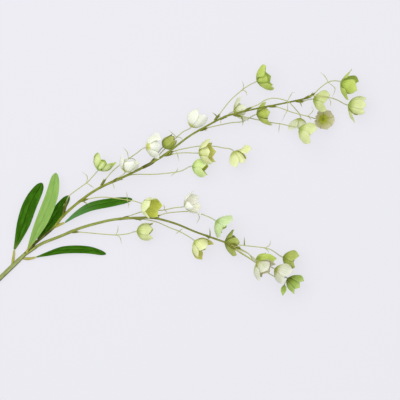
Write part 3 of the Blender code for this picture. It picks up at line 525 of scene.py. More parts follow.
# %% [markdown]
# ## The colours of a petal
#
# A petal is green at its foot and fades towards its rim, where some bells are nearly white. Fine veins run
# from the foot to the rim and come together at both ends, because they follow the petal. The petal's own UV
# map gives exactly that: u runs across, v from the foot to the tip. The inside of a bell is a deeper olive.

# %% Petal material
VEINS = 7


def petal_material(name, body, foot, rim, reach):
    recipe = Recipe(name, Specular_IOR_Level=0.2)
    uv, across, up = recipe.own_map()
    place = recipe.node("TexCoord", "Object")
    mottle = recipe.noise(place, 90.0, 3.0)
    patches = recipe.noise(place, 45.0)
    sway = recipe.noise(recipe.stretched(uv, 2.0, 3.0), 2.0)
    wave = recipe.maths("SINE", (across + sway * 0.2) * (math.tau * VEINS)) * 0.5 + 0.5
    vein = wave ** 3.0 * recipe.ramp(up, 0.05, 0.3) * (1 - recipe.ramp(up, 0.7, 1.0))
    near_foot = 1 - recipe.ramp(up + (mottle - 0.5) * 0.2 - vein * 0.12, 0.1, reach)
    away = recipe.maths("ABSOLUTE", across - 0.5) * 2.0
    paler = recipe.maths("MAXIMUM", recipe.ramp(away, 0.5, 0.85), recipe.ramp(up, 0.7, 0.9))
    edge = recipe.maths("MAXIMUM", recipe.ramp(away, 0.88, 1.0), recipe.ramp(up, 0.93, 1.0))
    colour = recipe.blend(paler * 0.6, body, rim)
    colour = recipe.blend(recipe.ramp(mottle, 0.42, 0.7) * 0.35, colour, rim)
    colour = recipe.blend(recipe.ramp(patches, 0.5, 0.72) * 0.3, colour, foot)
    colour = recipe.blend(vein * 0.26, colour, foot)
    colour = recipe.blend(near_foot, colour, foot)
    colour = recipe.blend(edge * 0.28, colour, foot)
    relief = vein * 0.6 + recipe.noise(place, 900.0) * 0.5
    return recipe.feed(Base_Color=colour, Roughness=0.5 + mottle * 0.2, Normal=recipe.bump(relief, 0.0003, 0.6))


print("a petal has", VEINS, "veins")

# %% [markdown]
# Bells differ in age, from fresh green buds to white ones, so each look is mixed on its own: the outside, the
# foot, the rim, the inside and the eye deep inside, then how far up the foot and the eye reach.

# %% Petal looks
petal_sides = {}


def petal_look(look, outside, foot, rim, inside, eye, foot_reach=0.5, eye_reach=0.38):
    petal_sides[look] = (
        petal_material(f"petal_{look}_inside", tint(*inside), tint(*eye), tint(*inside), eye_reach),
        petal_material(f"petal_{look}_outside", tint(*outside), tint(*foot), tint(*rim), foot_reach))


petal_look("white", (226, 229, 216), (178, 184, 72), (234, 236, 228), (228, 230, 212), (180, 186, 100), 0.3)
petal_look("snow", (228, 231, 220), (190, 194, 98), (234, 236, 228), (228, 230, 212), (180, 186, 100), 0.17)
petal_look("cream", (206, 209, 188), (158, 164, 58), (220, 221, 206), (206, 200, 160), (160, 160, 76))
petal_look("ghost", (230, 233, 220), (190, 198, 120), (236, 237, 228), (236, 236, 222), (212, 210, 170), 0.34)
petal_look("lime", (214, 224, 160), (148, 180, 66), (184, 202, 112), (188, 206, 106), (150, 172, 66))
petal_look("lemon", (216, 222, 158), (170, 180, 84), (226, 229, 186), (206, 206, 110), (174, 176, 66))
petal_look("fresh", (203, 221, 144), (154, 184, 80), (216, 229, 170), (202, 208, 90), (164, 172, 60))
petal_look("vivid", (178, 196, 92), (132, 152, 46), (192, 206, 112), (178, 198, 96), (140, 160, 54))
petal_look("fern", (174, 187, 84), (128, 142, 50), (192, 200, 118), (170, 184, 80), (134, 146, 52))
petal_look("olive", (160, 171, 82), (118, 134, 34), (180, 189, 112), (172, 178, 88), (136, 142, 50))
petal_look("bud", (158, 168, 76), (136, 152, 54), (176, 176, 108), (166, 172, 84), (138, 144, 52))
petal_look("mint", (195, 215, 156), (146, 174, 88), (207, 222, 176), (190, 208, 94), (150, 168, 58))
petal_look("misty", (190, 190, 146), (126, 136, 40), (198, 196, 168), (196, 191, 156), (154, 160, 36),
           eye_reach=0.72)
petal_look("pale", (204, 212, 146), (146, 164, 68), (214, 220, 168), (204, 208, 118), (164, 172, 66))
petal_look("gold", (218, 225, 166), (176, 188, 92), (230, 234, 198), (209, 214, 102), (190, 196, 66),
           eye_reach=0.3)
petal_look("sheer", (214, 218, 188), (158, 166, 70), (226, 229, 208), (216, 217, 176), (172, 176, 96))
petal_look("moss", (150, 176, 80), (116, 134, 14), (184, 204, 122), (170, 190, 88), (124, 136, 24))
print(len(petal_sides), "petal looks, each with an inside and an outside")

# %% [markdown]
# ## The colours of the stems
#
# The branches are yellow-green. The swollen sheaths at the feet of the twigs are olive, the wiry stalks pale,
# the collars under the bells grey, and the sleeves of the leaves yellow. All this is one skin, so it is one
# material: the tints are painted on the mesh as a colour attribute when each stalk is made, and the material
# adds fibres that run lengthwise, with a little bump.

# %% Stem material


def stem_material():
    recipe = Recipe("stem_skin", Specular_IOR_Level=0.15)
    painted = recipe.node("VertexColor", "Color", {"layer_name": "tint"})
    fibre = recipe.noise(recipe.stretched(recipe.node("UVMap"), 6.0, 90.0), 1.0, 3.0)
    mottle = recipe.noise(recipe.node("TexCoord", "Object"), 160.0, 3.0)
    colour = recipe.blend(recipe.ramp(fibre, 0.35, 0.7) * 0.22, painted, tint(90, 100, 30), "MULTIPLY")
    colour = recipe.blend((1 - recipe.ramp(fibre, 0.3, 0.5)) * 0.2, colour, tint(205, 205, 140), "SCREEN")
    colour = recipe.blend(recipe.ramp(mottle, 0.55, 0.8) * 0.12, colour, tint(120, 110, 50))
    return recipe.feed(Base_Color=colour, Roughness=0.42 + fibre * 0.25,
                       Normal=recipe.bump(fibre + mottle * 0.4, 0.0004, 0.7))


stem_skin = stem_material()
# Painted shade: the first part of the upper branch, shaded by leaves 2 and 3, is painted dark olive-brown.
ROOT_PAINTED_SHADE_TINT = tint(72, 76, 16)
UPPER_TINT, UPPER_TIP_TINT = tint(130, 138, 44), tint(114, 122, 26)
LOWER_TINT, LOWER_TIP_TINT = tint(137, 147, 68), tint(118, 122, 40)
STALK_TINT = tint(140, 150, 88)
SHEATH_TINT, DARK_SHEATH_TINT = tint(106, 112, 28), tint(80, 84, 14)
PEDICEL_TINT, CURL_TINT, COLLAR_TINT = tint(180, 183, 112), tint(182, 185, 124), tint(188, 190, 172)
SLEEVE_TINT = tint(168, 164, 78)
print("the stems' skin is", stem_skin.name)

# %% [markdown]
# ## The colours of the leaves
#
# A leaf is dark and slightly glossy above, with a darker crease along its midrib and fine side veins that
# run nearly lengthwise. One leaf shows its underside, which is paler and duller, and one has a painted sheen
# of the lamp on its lower half. The pattern follows the leaf's own UV map again, with u across and v along.

# %% Leaf material


def leaf_material(name, body, light, foot, rib, rib_share, foot_reach=0.14):
    recipe = Recipe(name, Specular_IOR_Level=0.03)
    uv, across, up = recipe.own_map()
    away = recipe.maths("ABSOLUTE", across - 0.5) * 2.0
    broad = recipe.noise(recipe.stretched(uv, 2.2, 3.5), 1.6, 3.0)
    fine = recipe.noise(recipe.stretched(uv, 34.0, 3.0), 1.0, 3.0)
    midrib = 1 - recipe.ramp(away + (broad - 0.5) * 0.06, 0.02, 0.13)
    side_veins = recipe.maths("SINE", (away * 7.0 - up * 9.0 + broad * 0.8) * math.tau) * 0.5 + 0.5
    colour = recipe.blend(recipe.ramp(broad, 0.4, 0.66) * 0.7, body, light)
    colour = recipe.blend(recipe.ramp(fine, 0.45, 0.7) * 0.35, colour, light)
    colour = recipe.blend(side_veins ** 4.0 * 0.16, colour, light)
    colour = recipe.blend(midrib * rib_share, colour, rib)
    # The foot colour is the leaf's own, except on leaf 4, where it is a painted sheen over the lower half.
    colour = recipe.blend(1 - recipe.ramp(up + (broad - 0.5) * 0.3, 0.0, foot_reach), colour, foot)
    grain = recipe.noise(recipe.node("TexCoord", "Object"), 700.0) * 0.25
    relief = fine * 0.5 + side_veins * 0.25 - midrib * 0.8 + grain
    return recipe.feed(Base_Color=colour, Roughness=0.55 + fine * 0.16, Normal=recipe.bump(relief, 0.0004, 0.7))


dark_leaf = leaf_material("leaf_upper_side", tint(42, 84, 5), tint(66, 118, 20), tint(96, 124, 44),
                          tint(26, 56, 2), 0.7)
LEAF_LOOKS = {
    "leaf_2": leaf_material("leaf_underside", tint(124, 160, 78), tint(140, 176, 92), tint(146, 162, 76),
                            tint(108, 146, 62), 0.55),
    # Leaf 4's pale bluish foot colour, reaching over its lower half, is a painted sheen of the lamp.
    "leaf_4": leaf_material("leaf_upper_side_painted_sheen", tint(50, 96, 12), tint(72, 120, 30), tint(88, 134, 74),
                            tint(30, 66, 6), 0.7, 0.6),
}
print("leaves with a look of their own:", ", ".join(LEAF_LOOKS))

# %% [markdown]
# ## One petal, flat
#
# A petal is broad, rounded and ends in a small point. It starts as a grid, which has a UV map already. In edit
# mode each row is scaled to the petal's width there, which also closes the last row to the point, and the
# middle column is pushed down to a faint crease. All petals of all bells are copies of this one. The leaves
# start in the same way, so the first steps are a helper.

# %% Model the flat petal
PETAL_LENGTH = 28.0
PETAL_OUTLINE = ((0.0, 1.2), (0.3, 6.8), (0.5, 10.2), (0.7, 10.5), (0.82, 7.8), (0.92, 3.4), (1.0, 0.3))
PETAL_COLUMNS, PETAL_ROWS = 10, 16
OUTLINE_STEP = 0.02
ROW_REACH = 0.25
CREASE_DEPTH, CREASE_HALF, CREASE_START = 0.25, 0.02, PETAL_LENGTH / 3


def row_widths(outline, rows):
    """The half width of each row, on a smooth curve through the outline's points."""
    points = smooth_route([(part, width, 0.0) for part, width in outline], OUTLINE_STEP)
    places = [min(points, key=lambda point: abs(point.x - k / rows)) for k in range(rows + 1)]
    return [place.y for place in places]


def flat_sheet(columns, length, half_widths):
    """A grid that runs from y 0 to length, with its rows scaled to their half widths. It stays in edit mode."""
    rows = len(half_widths) - 1
    deselect_all()
    bpy.ops.mesh.primitive_grid_add(x_subdivisions=columns, y_subdivisions=rows, size=2)
    sheet = bpy.context.active_object
    bpy.ops.object.mode_set(mode="EDIT")
    bpy.ops.mesh.select_all(action="SELECT")
    bpy.ops.transform.translate(value=(0, 1, 0))
    bpy.ops.transform.resize(value=(1, length / 2, 1), center_override=(0, 0, 0))
    for k, half_width in enumerate(half_widths):
        y = length * k / rows
        if select_vertices(sheet, lambda place: abs(place.y - y) < ROW_REACH * length / rows):
            bpy.ops.transform.resize(value=(half_width, 1, 1), center_override=(0, y, 0))
    return sheet


petal_widths = row_widths(PETAL_OUTLINE, PETAL_ROWS)
flat_petal = flat_sheet(PETAL_COLUMNS, PETAL_LENGTH, petal_widths)
select_vertices(flat_petal, lambda place: abs(place.x) < CREASE_HALF and place.y > CREASE_START)
bpy.ops.transform.translate(value=(0, 0, -CREASE_DEPTH))
bpy.ops.object.mode_set(mode="OBJECT")
flat_petal.name = "flat_petal"
print("the flat petal has", len(flat_petal.data.vertices), "vertices and spans",
      [round(v, 1) for v in flat_petal.dimensions], "mm")

# %% [markdown]
# ## Petals bent into a bell
#
# A bell's petals leave the neck almost sideways and turn forward as they grow, so the bell is round behind
# and open in front. `petal_line` walks along a petal's middle line and turns it step by step, and
# `petal_point` lays a place of the flat petal onto the bell: forward by the line, sideways on a round bend. A
# twisted petal's outer part is turned about that line.

# %% The line of a petal, and a point on it
CUP_DEPTH = 0.4
PETAL_START = 80.0
PETAL_ROOT_RADIUS = 1.2
PETAL_TURN_END = 0.7
LINE_PARTS = 64
BEND_SHARE, BEND_LEAST = 1.15, 5.0


def facing(aim, rise):
    """Unit directions of a bell: along its axis, up towards the viewer, and sideways in plan."""
    aim, rise = math.radians(aim), math.radians(rise)
    axis = Vector((math.cos(aim) * math.cos(rise), math.sin(aim) * math.cos(rise), math.sin(rise)))
    side = Vector((-math.sin(aim), math.cos(aim), 0.0))
    return axis, axis.cross(side), side


def petal_line(flare, length, turn_end):
    """The petal's middle line as (place along the axis, distance from it, slope) from root to tip."""
    x, r = CUP_DEPTH, PETAL_ROOT_RADIUS
    line = []
    for k in range(LINE_PARTS + 1):
        turn = min(1.0, k / LINE_PARTS / turn_end)
        slope = math.radians(PETAL_START + (flare - PETAL_START) * turn)
        line.append((x, r, slope))
        x += length / LINE_PARTS * math.cos(slope)
        r += length / LINE_PARTS * math.sin(slope)
    return line


def petal_point(neck, directions, azimuth, station, reach, inset, twist):
    """A point of a petal: reach is how far sideways it lies, inset how far towards the axis."""
    axis, up, side = directions
    x, r, slope = station
    turn = math.radians(azimuth)
    outward = math.cos(turn) * up + math.sin(turn) * side
    sideways = math.cos(turn) * side - math.sin(turn) * up
    inward = math.sin(slope) * axis - math.cos(slope) * outward
    turned = math.cos(twist) * sideways + math.sin(twist) * inward
    inward = math.cos(twist) * inward - math.sin(twist) * sideways
    bend = max(BEND_SHARE * r, BEND_LEAST)
    angle = reach / bend
    point = neck + x * axis + r * outward + bend * math.sin(angle) * turned
    return point + (bend * (1.0 - math.cos(angle)) + inset) * inward


sample_tip = petal_line(10, PETAL_LENGTH, PETAL_TURN_END)[-1]
print(f"a petal that leans 10 degrees reaches {sample_tip[0]:.1f} mm forward and {sample_tip[1]:.1f} mm out")

# %% [markdown]
# Neighbouring petals overlap: the one that bulges more lies a little outside, and its neighbour's edge a little
# inside. How far a petal spreads sideways depends on the room to its neighbours. Each copy also gets faint
# waves along its rim and a slightly curled tip of its own.

# %% Bend a copy of the petal
SHINGLE_LEVEL = 0.75
PETAL_SHINGLE = 0.8
SHINGLE_POWER, RUFFLE_POWER = 1.5, 3
ROOM_SHARE, LEAST_ROOM = 1.25, 0.6
ROOM_START, ROOM_END = 0.4, 0.6
GROW_START, GROW_SPAN = 0.12, 0.25
RUFFLE, RUFFLE_RATE = 0.4, 12.0
TIP_CURL, CURL_START, CURL_SPAN = 1.3, 0.78, 0.22
TWIST_SPAN = ((0.3, 0.0), (0.6, 1.0))


def bulge(line, other):
    """How much wider one petal's line is than another's, compared level with the shorter one's upper part."""
    level = SHINGLE_LEVEL * min(line[-1][0], other[-1][0])
    widths = [min(one, key=lambda station: abs(station[0] - level))[1] for one in (line, other)]
    return widths[0] - widths[1]


def bent_petal(neck, directions, shape, line, size, gaps, shingles, draw):
    """A copy of the flat petal, bent onto its bell."""
    blade = copied(flat_petal)
    phases = [draw.uniform(0, math.tau) for side in (0, 1)]
    curl = TIP_CURL * draw.uniform(-0.2, 1.0)
    for vertex in blade.data.vertices:
        across, forward, lift = vertex.co
        t = forward / PETAL_LENGTH
        station = line[round(t * LINE_PARTS)]
        side = 0 if across < 0 else 1
        widest = petal_widths[round(t * PETAL_ROWS)]
        away = abs(across) / widest
        room = station[1] * math.radians(gaps[side] / 2) * ROOM_SHARE
        room *= at(((ROOM_START, 1.0), (ROOM_END, shape["room"]), (1.0, shape["room"])), t)
        reach = math.copysign(away * min(widest * size * shape["breadth"], max(room, LEAST_ROOM)), across)
        grown = min(1.0, max(0.0, (t - GROW_START) / GROW_SPAN))
        inset = shingles[side] * away**SHINGLE_POWER * grown + lift * grown
        inset += RUFFLE * size * away**RUFFLE_POWER * math.sin(phases[side] + RUFFLE_RATE * t) * grown
        inset -= curl * size * max(0.0, (t - CURL_START) / CURL_SPAN) ** 2
        twist = math.radians(shape["twist"]) * at(TWIST_SPAN, t)
        vertex.co = to_part(petal_point(neck, directions, shape["place"], station, reach, inset, twist))
    return blade


print("the rim waves by up to", RUFFLE, "mm")

# %% [markdown]
# ## The cup under the petals
#
# Behind its petals a bell closes in a tiny cup, which sits on the collar of its stalk. It is turned by hand: a
# filled circle is extruded step by step and scaled at each step, first wider, then over the lip and down
# inside. One cup is modelled, and each bell gets a copy, turned to look the way the bell does. Its UVs all lie
# at the foot of the petals' map, so the cup takes the colour of their feet.

# %% Model the cup
CUP_STEPS = ((0.25, 1.45), (0.55, 1.45), (1.0, 1.22), (0.15, 0.8), (-0.6, 0.8))
CUP_FOOT = 0.85
CUP_BACK = 0.2
CUP_SIDES = 12

deselect_all()
bpy.ops.mesh.primitive_circle_add(vertices=CUP_SIDES, radius=CUP_FOOT, fill_type="NGON")
cup_model = bpy.context.active_object
bpy.ops.object.mode_set(mode="EDIT")
bpy.ops.mesh.select_all(action="SELECT")
for rise, wider in CUP_STEPS:
    bpy.ops.mesh.extrude_region_move(TRANSFORM_OT_translate={"value": (0, 0, rise)})
    bpy.ops.transform.resize(value=(wider, wider, 1))
bpy.ops.mesh.select_all(action="SELECT")
bpy.ops.mesh.normals_make_consistent(inside=False)
bpy.ops.object.mode_set(mode="OBJECT")
for corner in cup_model.data.uv_layers[flat_petal.data.uv_layers[0].name].data:
    corner.uv = (0.5, 0.0)
print("the cup spans", [round(v, 1) for v in cup_model.dimensions], "mm")

# %% [markdown]
# ## The bells
#
# For each bell the petals are bent, joined and given a wall. Solidify makes the wall and also puts the outer
# side in a second material slot, so inside and outside have their own colours. One level of subdivision rounds
# the rims. The finished bell replaces its plain solid.

# %% Helpers that make a bell
PETAL_WALL = 0.32
BELL_ANGLE = 50
FIRST_SEED = {"upper": 0, "lower": 100}
WHITE_BELLS = {"upper": (2, 3, 5, 10), "lower": (2, 7, 8)}
BELL_LOOKS = {
    "upper": ("lime", "white", "snow", "bud", "white", "lemon", "fresh", "lemon", "vivid", "sheer", "fern",
              "pale", "misty", "pale", "vivid", "pale", "gold", "sheer"),
    "lower": ("pale", "ghost", "mint", "lemon", "olive", "vivid", "cream", "cream", "olive", "moss"),
}


def petal(place, flare, share=1.0, breadth=1.0, room=1.0, twist=0.0):
    """A petal's row of numbers, named, with its place as an angle from 0 to 360."""
    return dict(place=place % 360.0, flare=flare, share=share, breadth=breadth, room=room, twist=twist)


def placed_cup(neck, directions):
    """A copy of the cup at a bell's neck."""
    axis, up, side = directions
    cup = copied(cup_model)
    for vertex in cup.data.vertices:
        x, y, z = vertex.co
        vertex.co = to_part(neck + up * x - side * y + axis * (z - CUP_BACK))
    cup.data.flip_normals()
    return cup


def bell(spray, number):
    twig, look = TWIGS[spray][number - 1], BELL_LOOKS[spray][number - 1]
    draw = random.Random(FIRST_SEED[spray] + number)
    size, neck, directions = twig["size"], Vector(twig["route"][-1]), facing(twig["aim"], twig["rise"])
    petals = sorted((petal(*one) for one in twig["petals"]), key=lambda one: one["place"])
    lines = [petal_line(one["flare"], PETAL_LENGTH * size * one["share"], twig.get("turn", PETAL_TURN_END))
             for one in petals]
    made = []
    for k, (one, line) in enumerate(zip(petals, lines)):
        before, after = k - 1, (k + 1) % len(petals)
        gaps = [(one["place"] - petals[before]["place"]) % 360.0,
                (petals[after]["place"] - one["place"]) % 360.0]
        shingles = [-PETAL_SHINGLE if bulge(line, lines[before]) >= 0 else PETAL_SHINGLE,
                    -PETAL_SHINGLE if bulge(line, lines[after]) > 0 else PETAL_SHINGLE]
        made.append(bent_petal(neck, directions, one, line, size, gaps, shingles, draw))
    name = f"{spray}_bell_{number:02d}"
    whole = joined(name, made)
    whole.data.materials.clear()
    for side in petal_sides[look]:
        whole.data.materials.append(side)
    walled(whole, PETAL_WALL, outer_slot=1)
    cup = placed_cup(neck, directions)
    cup.data.materials.append(petal_sides[look][1])
    slot = "bloom_white" if number in WHITE_BELLS[spray] else "bloom_green"
    return dressed(joined(name, [whole, cup]), f"{spray}_bloom_{number:02d}", slot, BELL_ANGLE)


print("looks of the bells:", {spray: len(looks) for spray, looks in BELL_LOOKS.items()})

# %% Make every bell
bells = [bell(spray, number) for spray, twigs in TWIGS.items() for number in range(1, len(twigs) + 1)]
for pattern in (flat_petal, cup_model):
    bpy.data.objects.remove(pattern)
print(len(bells), "bells,", sum(len(one.data.polygons) for one in bells), "faces")

# %% [markdown]
# ## Stalks are curves with a bevel
#
# A wiry stalk is easiest as a curve with a round bevel, whose thickness changes from point to point. It is then
# turned into a mesh. Its rings of vertices come in order, so each ring can be painted with the tint that
# belongs at that distance, and the UV map gets the way round and the way along. The main stalk and its arms
# also get painted shade: a tube can be painted darker on its side away from the lamp, towards the ground.

# %% Helper that makes a tube
TUBE_SIDES = 10
# Painted shade: a tube with a shade amount is darkened on the side that faces this way, away from the lamp and
# down.
PAINTED_SHADE_SIDE = Vector((0.5, -0.75, -0.43))
PAINTED_SHADE_EDGE = ((0.1, 0.0), (0.5, 1.0))


def tube(name, route, radii, tints, sides=TUBE_SIDES, painted_shade=0.0):
    """A closed tube along the route, in plan millimetres, with a radius and a tint for each of its points."""
    curve = bpy.data.curves.new(name, "CURVE")
    curve.dimensions = "3D"
    curve.bevel_depth = MM
    curve.bevel_resolution = (sides - 4) // 2
    curve.use_fill_caps = True
    spline = curve.splines.new("POLY")
    spline.points.add(len(route) - 1)
    for knot, place, radius in zip(spline.points, route, radii):
        knot.co = (*to_part(place), 1.0)
        knot.radius = radius
    choose(linked(bpy.data.objects.new(name, curve)))
    bpy.ops.object.convert(target="MESH")
    made = bpy.context.active_object
    mesh = made.data
    run = distances(route)
    places = [to_part(point) for point in route]
    rings = [nearest(places, vertex.co) for vertex in mesh.vertices]
    paint = mesh.color_attributes.new("tint", "FLOAT_COLOR", "POINT")
    for number, ring in enumerate(rings):
        off = (mesh.vertices[number].co - places[ring]).normalized()
        # Painted shade: the tint is darkened on the side away from the lamp.
        paint.data[number].color = (*tints[ring] * (1.0 - painted_shade * at(PAINTED_SHADE_EDGE, off.dot(PAINTED_SHADE_SIDE))), 1.0)
    while mesh.uv_layers:
        mesh.uv_layers.remove(mesh.uv_layers[0])
    uv = mesh.uv_layers.new(name="UVMap")
    for face in mesh.polygons:
        for corner in face.loop_indices:
            vertex = mesh.loops[corner].vertex_index
            uv.data[corner].uv = ((vertex % sides) / sides, run[rings[vertex]] * MM)
    mesh.materials.append(stem_skin)
    return made


print("tubes have", TUBE_SIDES, "sides")

# %% Helper that makes a tapered tube
FINE_STEP = 1.5
FINE_SIDES = 8


def tapered(name, points, radii, tints):
    """A smooth tapered tube through a few points: radii and tints are given by the share of its length."""
    route = smooth_route(points, FINE_STEP)
    run = distances(route)
    shares = [a / run[-1] for a in run]
    return tube(name, route, [at(radii, s) for s in shares], [at(tints, s) for s in shares], FINE_SIDES)


print("fine tubes have", FINE_SIDES, "sides")

# %% [markdown]
# ## Twigs
#
# Each twig has a swollen olive sheath at the branch, a wiry pale stalk, a joint with two thin curled bracts,
# and a short grey collar under the bell. A small pointed bract stands off the sheath. The stalk, sheath and
# collar are one tube whose thickness and tint change along it, and the bracts are tapered tubes that start
# inside it.

# %% The stalk of a twig
PEDICEL_RADIUS = 0.65
SHEATH_LENGTH = 11.0
SHEATH_PROFILE = ((0.0, 1.15), (0.3, 1.75), (0.6, 1.75), (0.9, 1.25))
SHEATH_TAIL = 1.15
SHEATH_SHARE = 0.6
SHEATH_END, PALE_FROM = 0.8, 1.3
COLLAR_RADIUS, COLLAR_LENGTH = 0.9, 5.0
COLLAR_FLARE, COLLAR_FADE = 0.8, 0.6
NECK_CLEARANCE = 0.75
KNOT_RADIUS, KNOT_HALF = 0.25, 1.6
ROUTE_STEP, EASING = 0.8, 24
LEAST_STEPS = 8


def twig_line(twig):
    """The middle line of a twig, which ends in the direction that its bell looks."""
    axis = facing(twig["aim"], twig["rise"])[0]
    knots = [Vector(p) for p in twig["route"]]
    neck = knots.pop()
    arrival = (axis + (neck - knots[-1]).normalized()).normalized()
    knots += [neck - arrival * COLLAR_LENGTH, neck - axis * NECK_CLEARANCE]
    if (knots[-3] - knots[-2]).length < COLLAR_LENGTH:
        del knots[-2]
    return relaxed(smooth_route(knots, ROUTE_STEP), EASING)


def twig_profile(twig, whole, sheath):
    """A twig's radii and tints by the distance along it, from its sheath to its collar."""
    collar = whole - COLLAR_LENGTH
    swollen = twig.get("swollen", 1.0)
    radii = [(share * sheath, max(PEDICEL_RADIUS, radius * swollen)) for share, radius in SHEATH_PROFILE]
    radii.append((SHEATH_TAIL * sheath, PEDICEL_RADIUS))
    green = DARK_SHEATH_TINT if swollen > 1.0 else SHEATH_TINT
    tints = [(0.0, green), (SHEATH_END * sheath, green), (PALE_FROM * sheath, PEDICEL_TINT)]
    for profile, pale, end, change in ((radii, PEDICEL_RADIUS, COLLAR_RADIUS, COLLAR_FLARE),
                                       (tints, PEDICEL_TINT, COLLAR_TINT, COLLAR_FADE)):
        if collar > profile[-1][0]:
            profile.append((collar, pale))
        profile += [(max(collar, profile[-1][0]) + change, end), (whole, end)]
    return radii, tints


print("a sheath is", SHEATH_LENGTH, "mm long")

# %% Helper that makes a twig
CURL_RADII = ((0.0, 0.42), (0.5, 0.55), (1.0, 0.12))
CURL_TINTS = ((0.0, CURL_TINT), (1.0, CURL_TINT))
CURL_LIFTS = (1.5, -0.8)
BRACT_RADII = ((0.0, 0.9), (0.5, 0.8), (1.0, 0.12))
BRACT_TINTS = ((0.0, SHEATH_TINT), (1.0, CURL_TINT))
BRACT_FOOT, BRACT_LENGTH, BRACT_SPREAD, BRACT_LIFT = 0.45, 6.0, 2.6, 0.9
BRACT_MIDDLE, BRACT_BOW = 0.55, 0.5
UP = Vector((0, 0, 1))


def sheath_bract(name, line, run, sheath, side):
    """The small pointed bract that stands off a sheath, to the left (-1) or right (1) of the twig."""
    foot = along(line, run, BRACT_FOOT * sheath)
    ahead = (along(line, run, sheath) - foot).normalized()
    outward = ahead.cross(UP).normalized() * side
    tip = foot + ahead * BRACT_LENGTH + outward * BRACT_SPREAD + UP * BRACT_LIFT
    middle = foot.lerp(tip, BRACT_MIDDLE) + outward * BRACT_BOW
    return tapered(name, [foot, middle, tip], BRACT_RADII, BRACT_TINTS)


def twig_tubes(name, twig):
    """The tubes of one twig: its stalk, its curls, its spurs and the bract on its sheath."""
    line = twig_line(twig)
    run = distances(line)
    whole = run[-1]
    sheath = min(twig.get("sheath", SHEATH_LENGTH), SHEATH_SHARE * whole)
    radii, tints = twig_profile(twig, whole, sheath)
    curls = twig.get("curls", ())
    borne = run[nearest(line, Vector(twig["route"][twig.get("joint", 0)]))]
    joint = along(line, run, borne)
    steps = max(LEAST_STEPS, round(whole / FINE_STEP))
    places = [whole * k / steps for k in range(steps + 1)]
    swell = [KNOT_RADIUS * max(0.0, 1 - abs(a - borne) / KNOT_HALF) if curls else 0.0 for a in places]
    made = [tube(name, [along(line, run, a) for a in places], [at(radii, a) + s for a, s in zip(places, swell)],
                 [at(tints, a) for a in places])]
    for k, plan in enumerate(curls):
        points = [joint] + [Vector((*p, joint.z + CURL_LIFTS[k] * (n + 1))) for n, p in enumerate(plan)]
        made.append(tapered(f"{name}_curl_{k}", points, CURL_RADII, CURL_TINTS))
    for k, points in enumerate(twig.get("spurs", ())):
        made.append(tapered(f"{name}_spur_{k}", points, BRACT_RADII, BRACT_TINTS))
    made.append(sheath_bract(name + "_bract", line, run, sheath, 1 if len(twig["route"]) % 2 else -1))
    return made


print("a bract is", BRACT_LENGTH, "mm long")

# %% [markdown]
# ## The two sprays
#
# A spray's branch is one long tube that thins towards its tip and swells a little at every twig. Its twigs are
# joined to it, and with them the sleeves of the leaves that grow there. The spray replaces the branch's solid.

# %% Make the sprays
ARM_LENGTH = 20.0
SEAT_GAP = 0.35
NODE_SWELL, NODE_HALF, NODE_TINT = 0.3, 5.0, 0.6
BRANCH_STEP, BRANCH_EASING, BRANCH_SIDES = 4.0, 6, 12
BRANCH_RADII = {"upper": (1.9, 1.1), "lower": (2.1, 1.2)}
BRANCH_TINTS = {
    # The upper branch starts in painted shade, under leaves 2 and 3.
    "upper": ((0.0, ROOT_PAINTED_SHADE_TINT), (28.0, ROOT_PAINTED_SHADE_TINT), (42.0, UPPER_TINT), (220.0, UPPER_TINT),
              (360.0, UPPER_TIP_TINT)),
    "lower": ((0.0, LOWER_TINT), (110.0, LOWER_TINT), (180.0, LOWER_TIP_TINT)),
}
SLEEVE_RADII = ((0.0, 1.4), (0.35, 2.1), (0.75, 1.7), (1.0, 1.2))
SLEEVE_TINTS = ((0.0, SHEATH_TINT), (0.25, SLEEVE_TINT), (1.0, SLEEVE_TINT))
SPRAY_ANGLE = 60


def sleeves_on(node):
    """The sleeves of the leaves that grow on this piece."""
    return [tapered(name + "_sleeve", leaf["sleeve"], SLEEVE_RADII, SLEEVE_TINTS)
            for name, leaf in LEAVES.items() if leaf["on"] == node]


def start_of(path):
    """A branch's first point and the direction in which it leaves it."""
    first = Vector(path[0])
    return first, (Vector(path[1]) - first).normalized()


def spray(which):
    name, node, twigs = which + "_spray", which + "_branch", TWIGS[which]
    first, ahead = start_of(PATHS[which])
    knots = [first + ahead * (ARM_LENGTH + SEAT_GAP)] + [Vector(p) for p in PATHS[which][1:]]
    route = relaxed(smooth_route(knots, BRANCH_STEP), BRANCH_EASING)
    run = distances(route)
    thick, thin = BRANCH_RADII[which]
    feet = [Vector(twig["route"][0]) for twig in twigs]
    widths, tints = [], []
    for place, a in zip(route, run):
        swell = max(0.0, 1 - min((place - foot).length for foot in feet) / NODE_HALF)
        widths.append(at(((0.0, thick), (run[-1], thin)), a) + NODE_SWELL * swell)
        tints.append(at(BRANCH_TINTS[which], a).lerp(SHEATH_TINT, NODE_TINT * swell))
    pieces = [tube(name, route, widths, tints, BRANCH_SIDES)]
    for k, twig in enumerate(twigs):
        pieces += twig_tubes(f"{name}_twig_{k}", twig)
    return dressed(joined(name, pieces + sleeves_on(node)), node, "stem", SPRAY_ANGLE)


sprays = [spray(which) for which in PATHS]
print("the sprays have", [len(one.data.polygons) for one in sprays], "faces")

# %% [markdown]
# ## The stalk
#
# The stalk is one straight round stem, cut off square at its lower end. Two short arms start the branches at
# the fork, and the low leaves' sleeves grow on it.

# %% Make the stalk
STALK_LIFT = 3.4 * math.cos(math.pi / 8)
STALK_RADII = ((0.0, 2.75), (0.006, 3.0), (0.03, 3.3), (0.9, 3.3), (1.0, 2.6))
STALK_RINGS = [0.0, 0.004, 0.012] + [k / 24 for k in range(1, 25)]
# The stalk and its arms get painted shade on their side away from the lamp.
STALK_SIDES, STALK_PAINTED_SHADE, STALK_ANGLE = 16, 0.6, 50
FORK_OVERRUN = 3.0
ARM_RINGS, ARM_EXTRA, ARM_TAPER, ARM_FADE = 9, 0.5, 0.03, 3


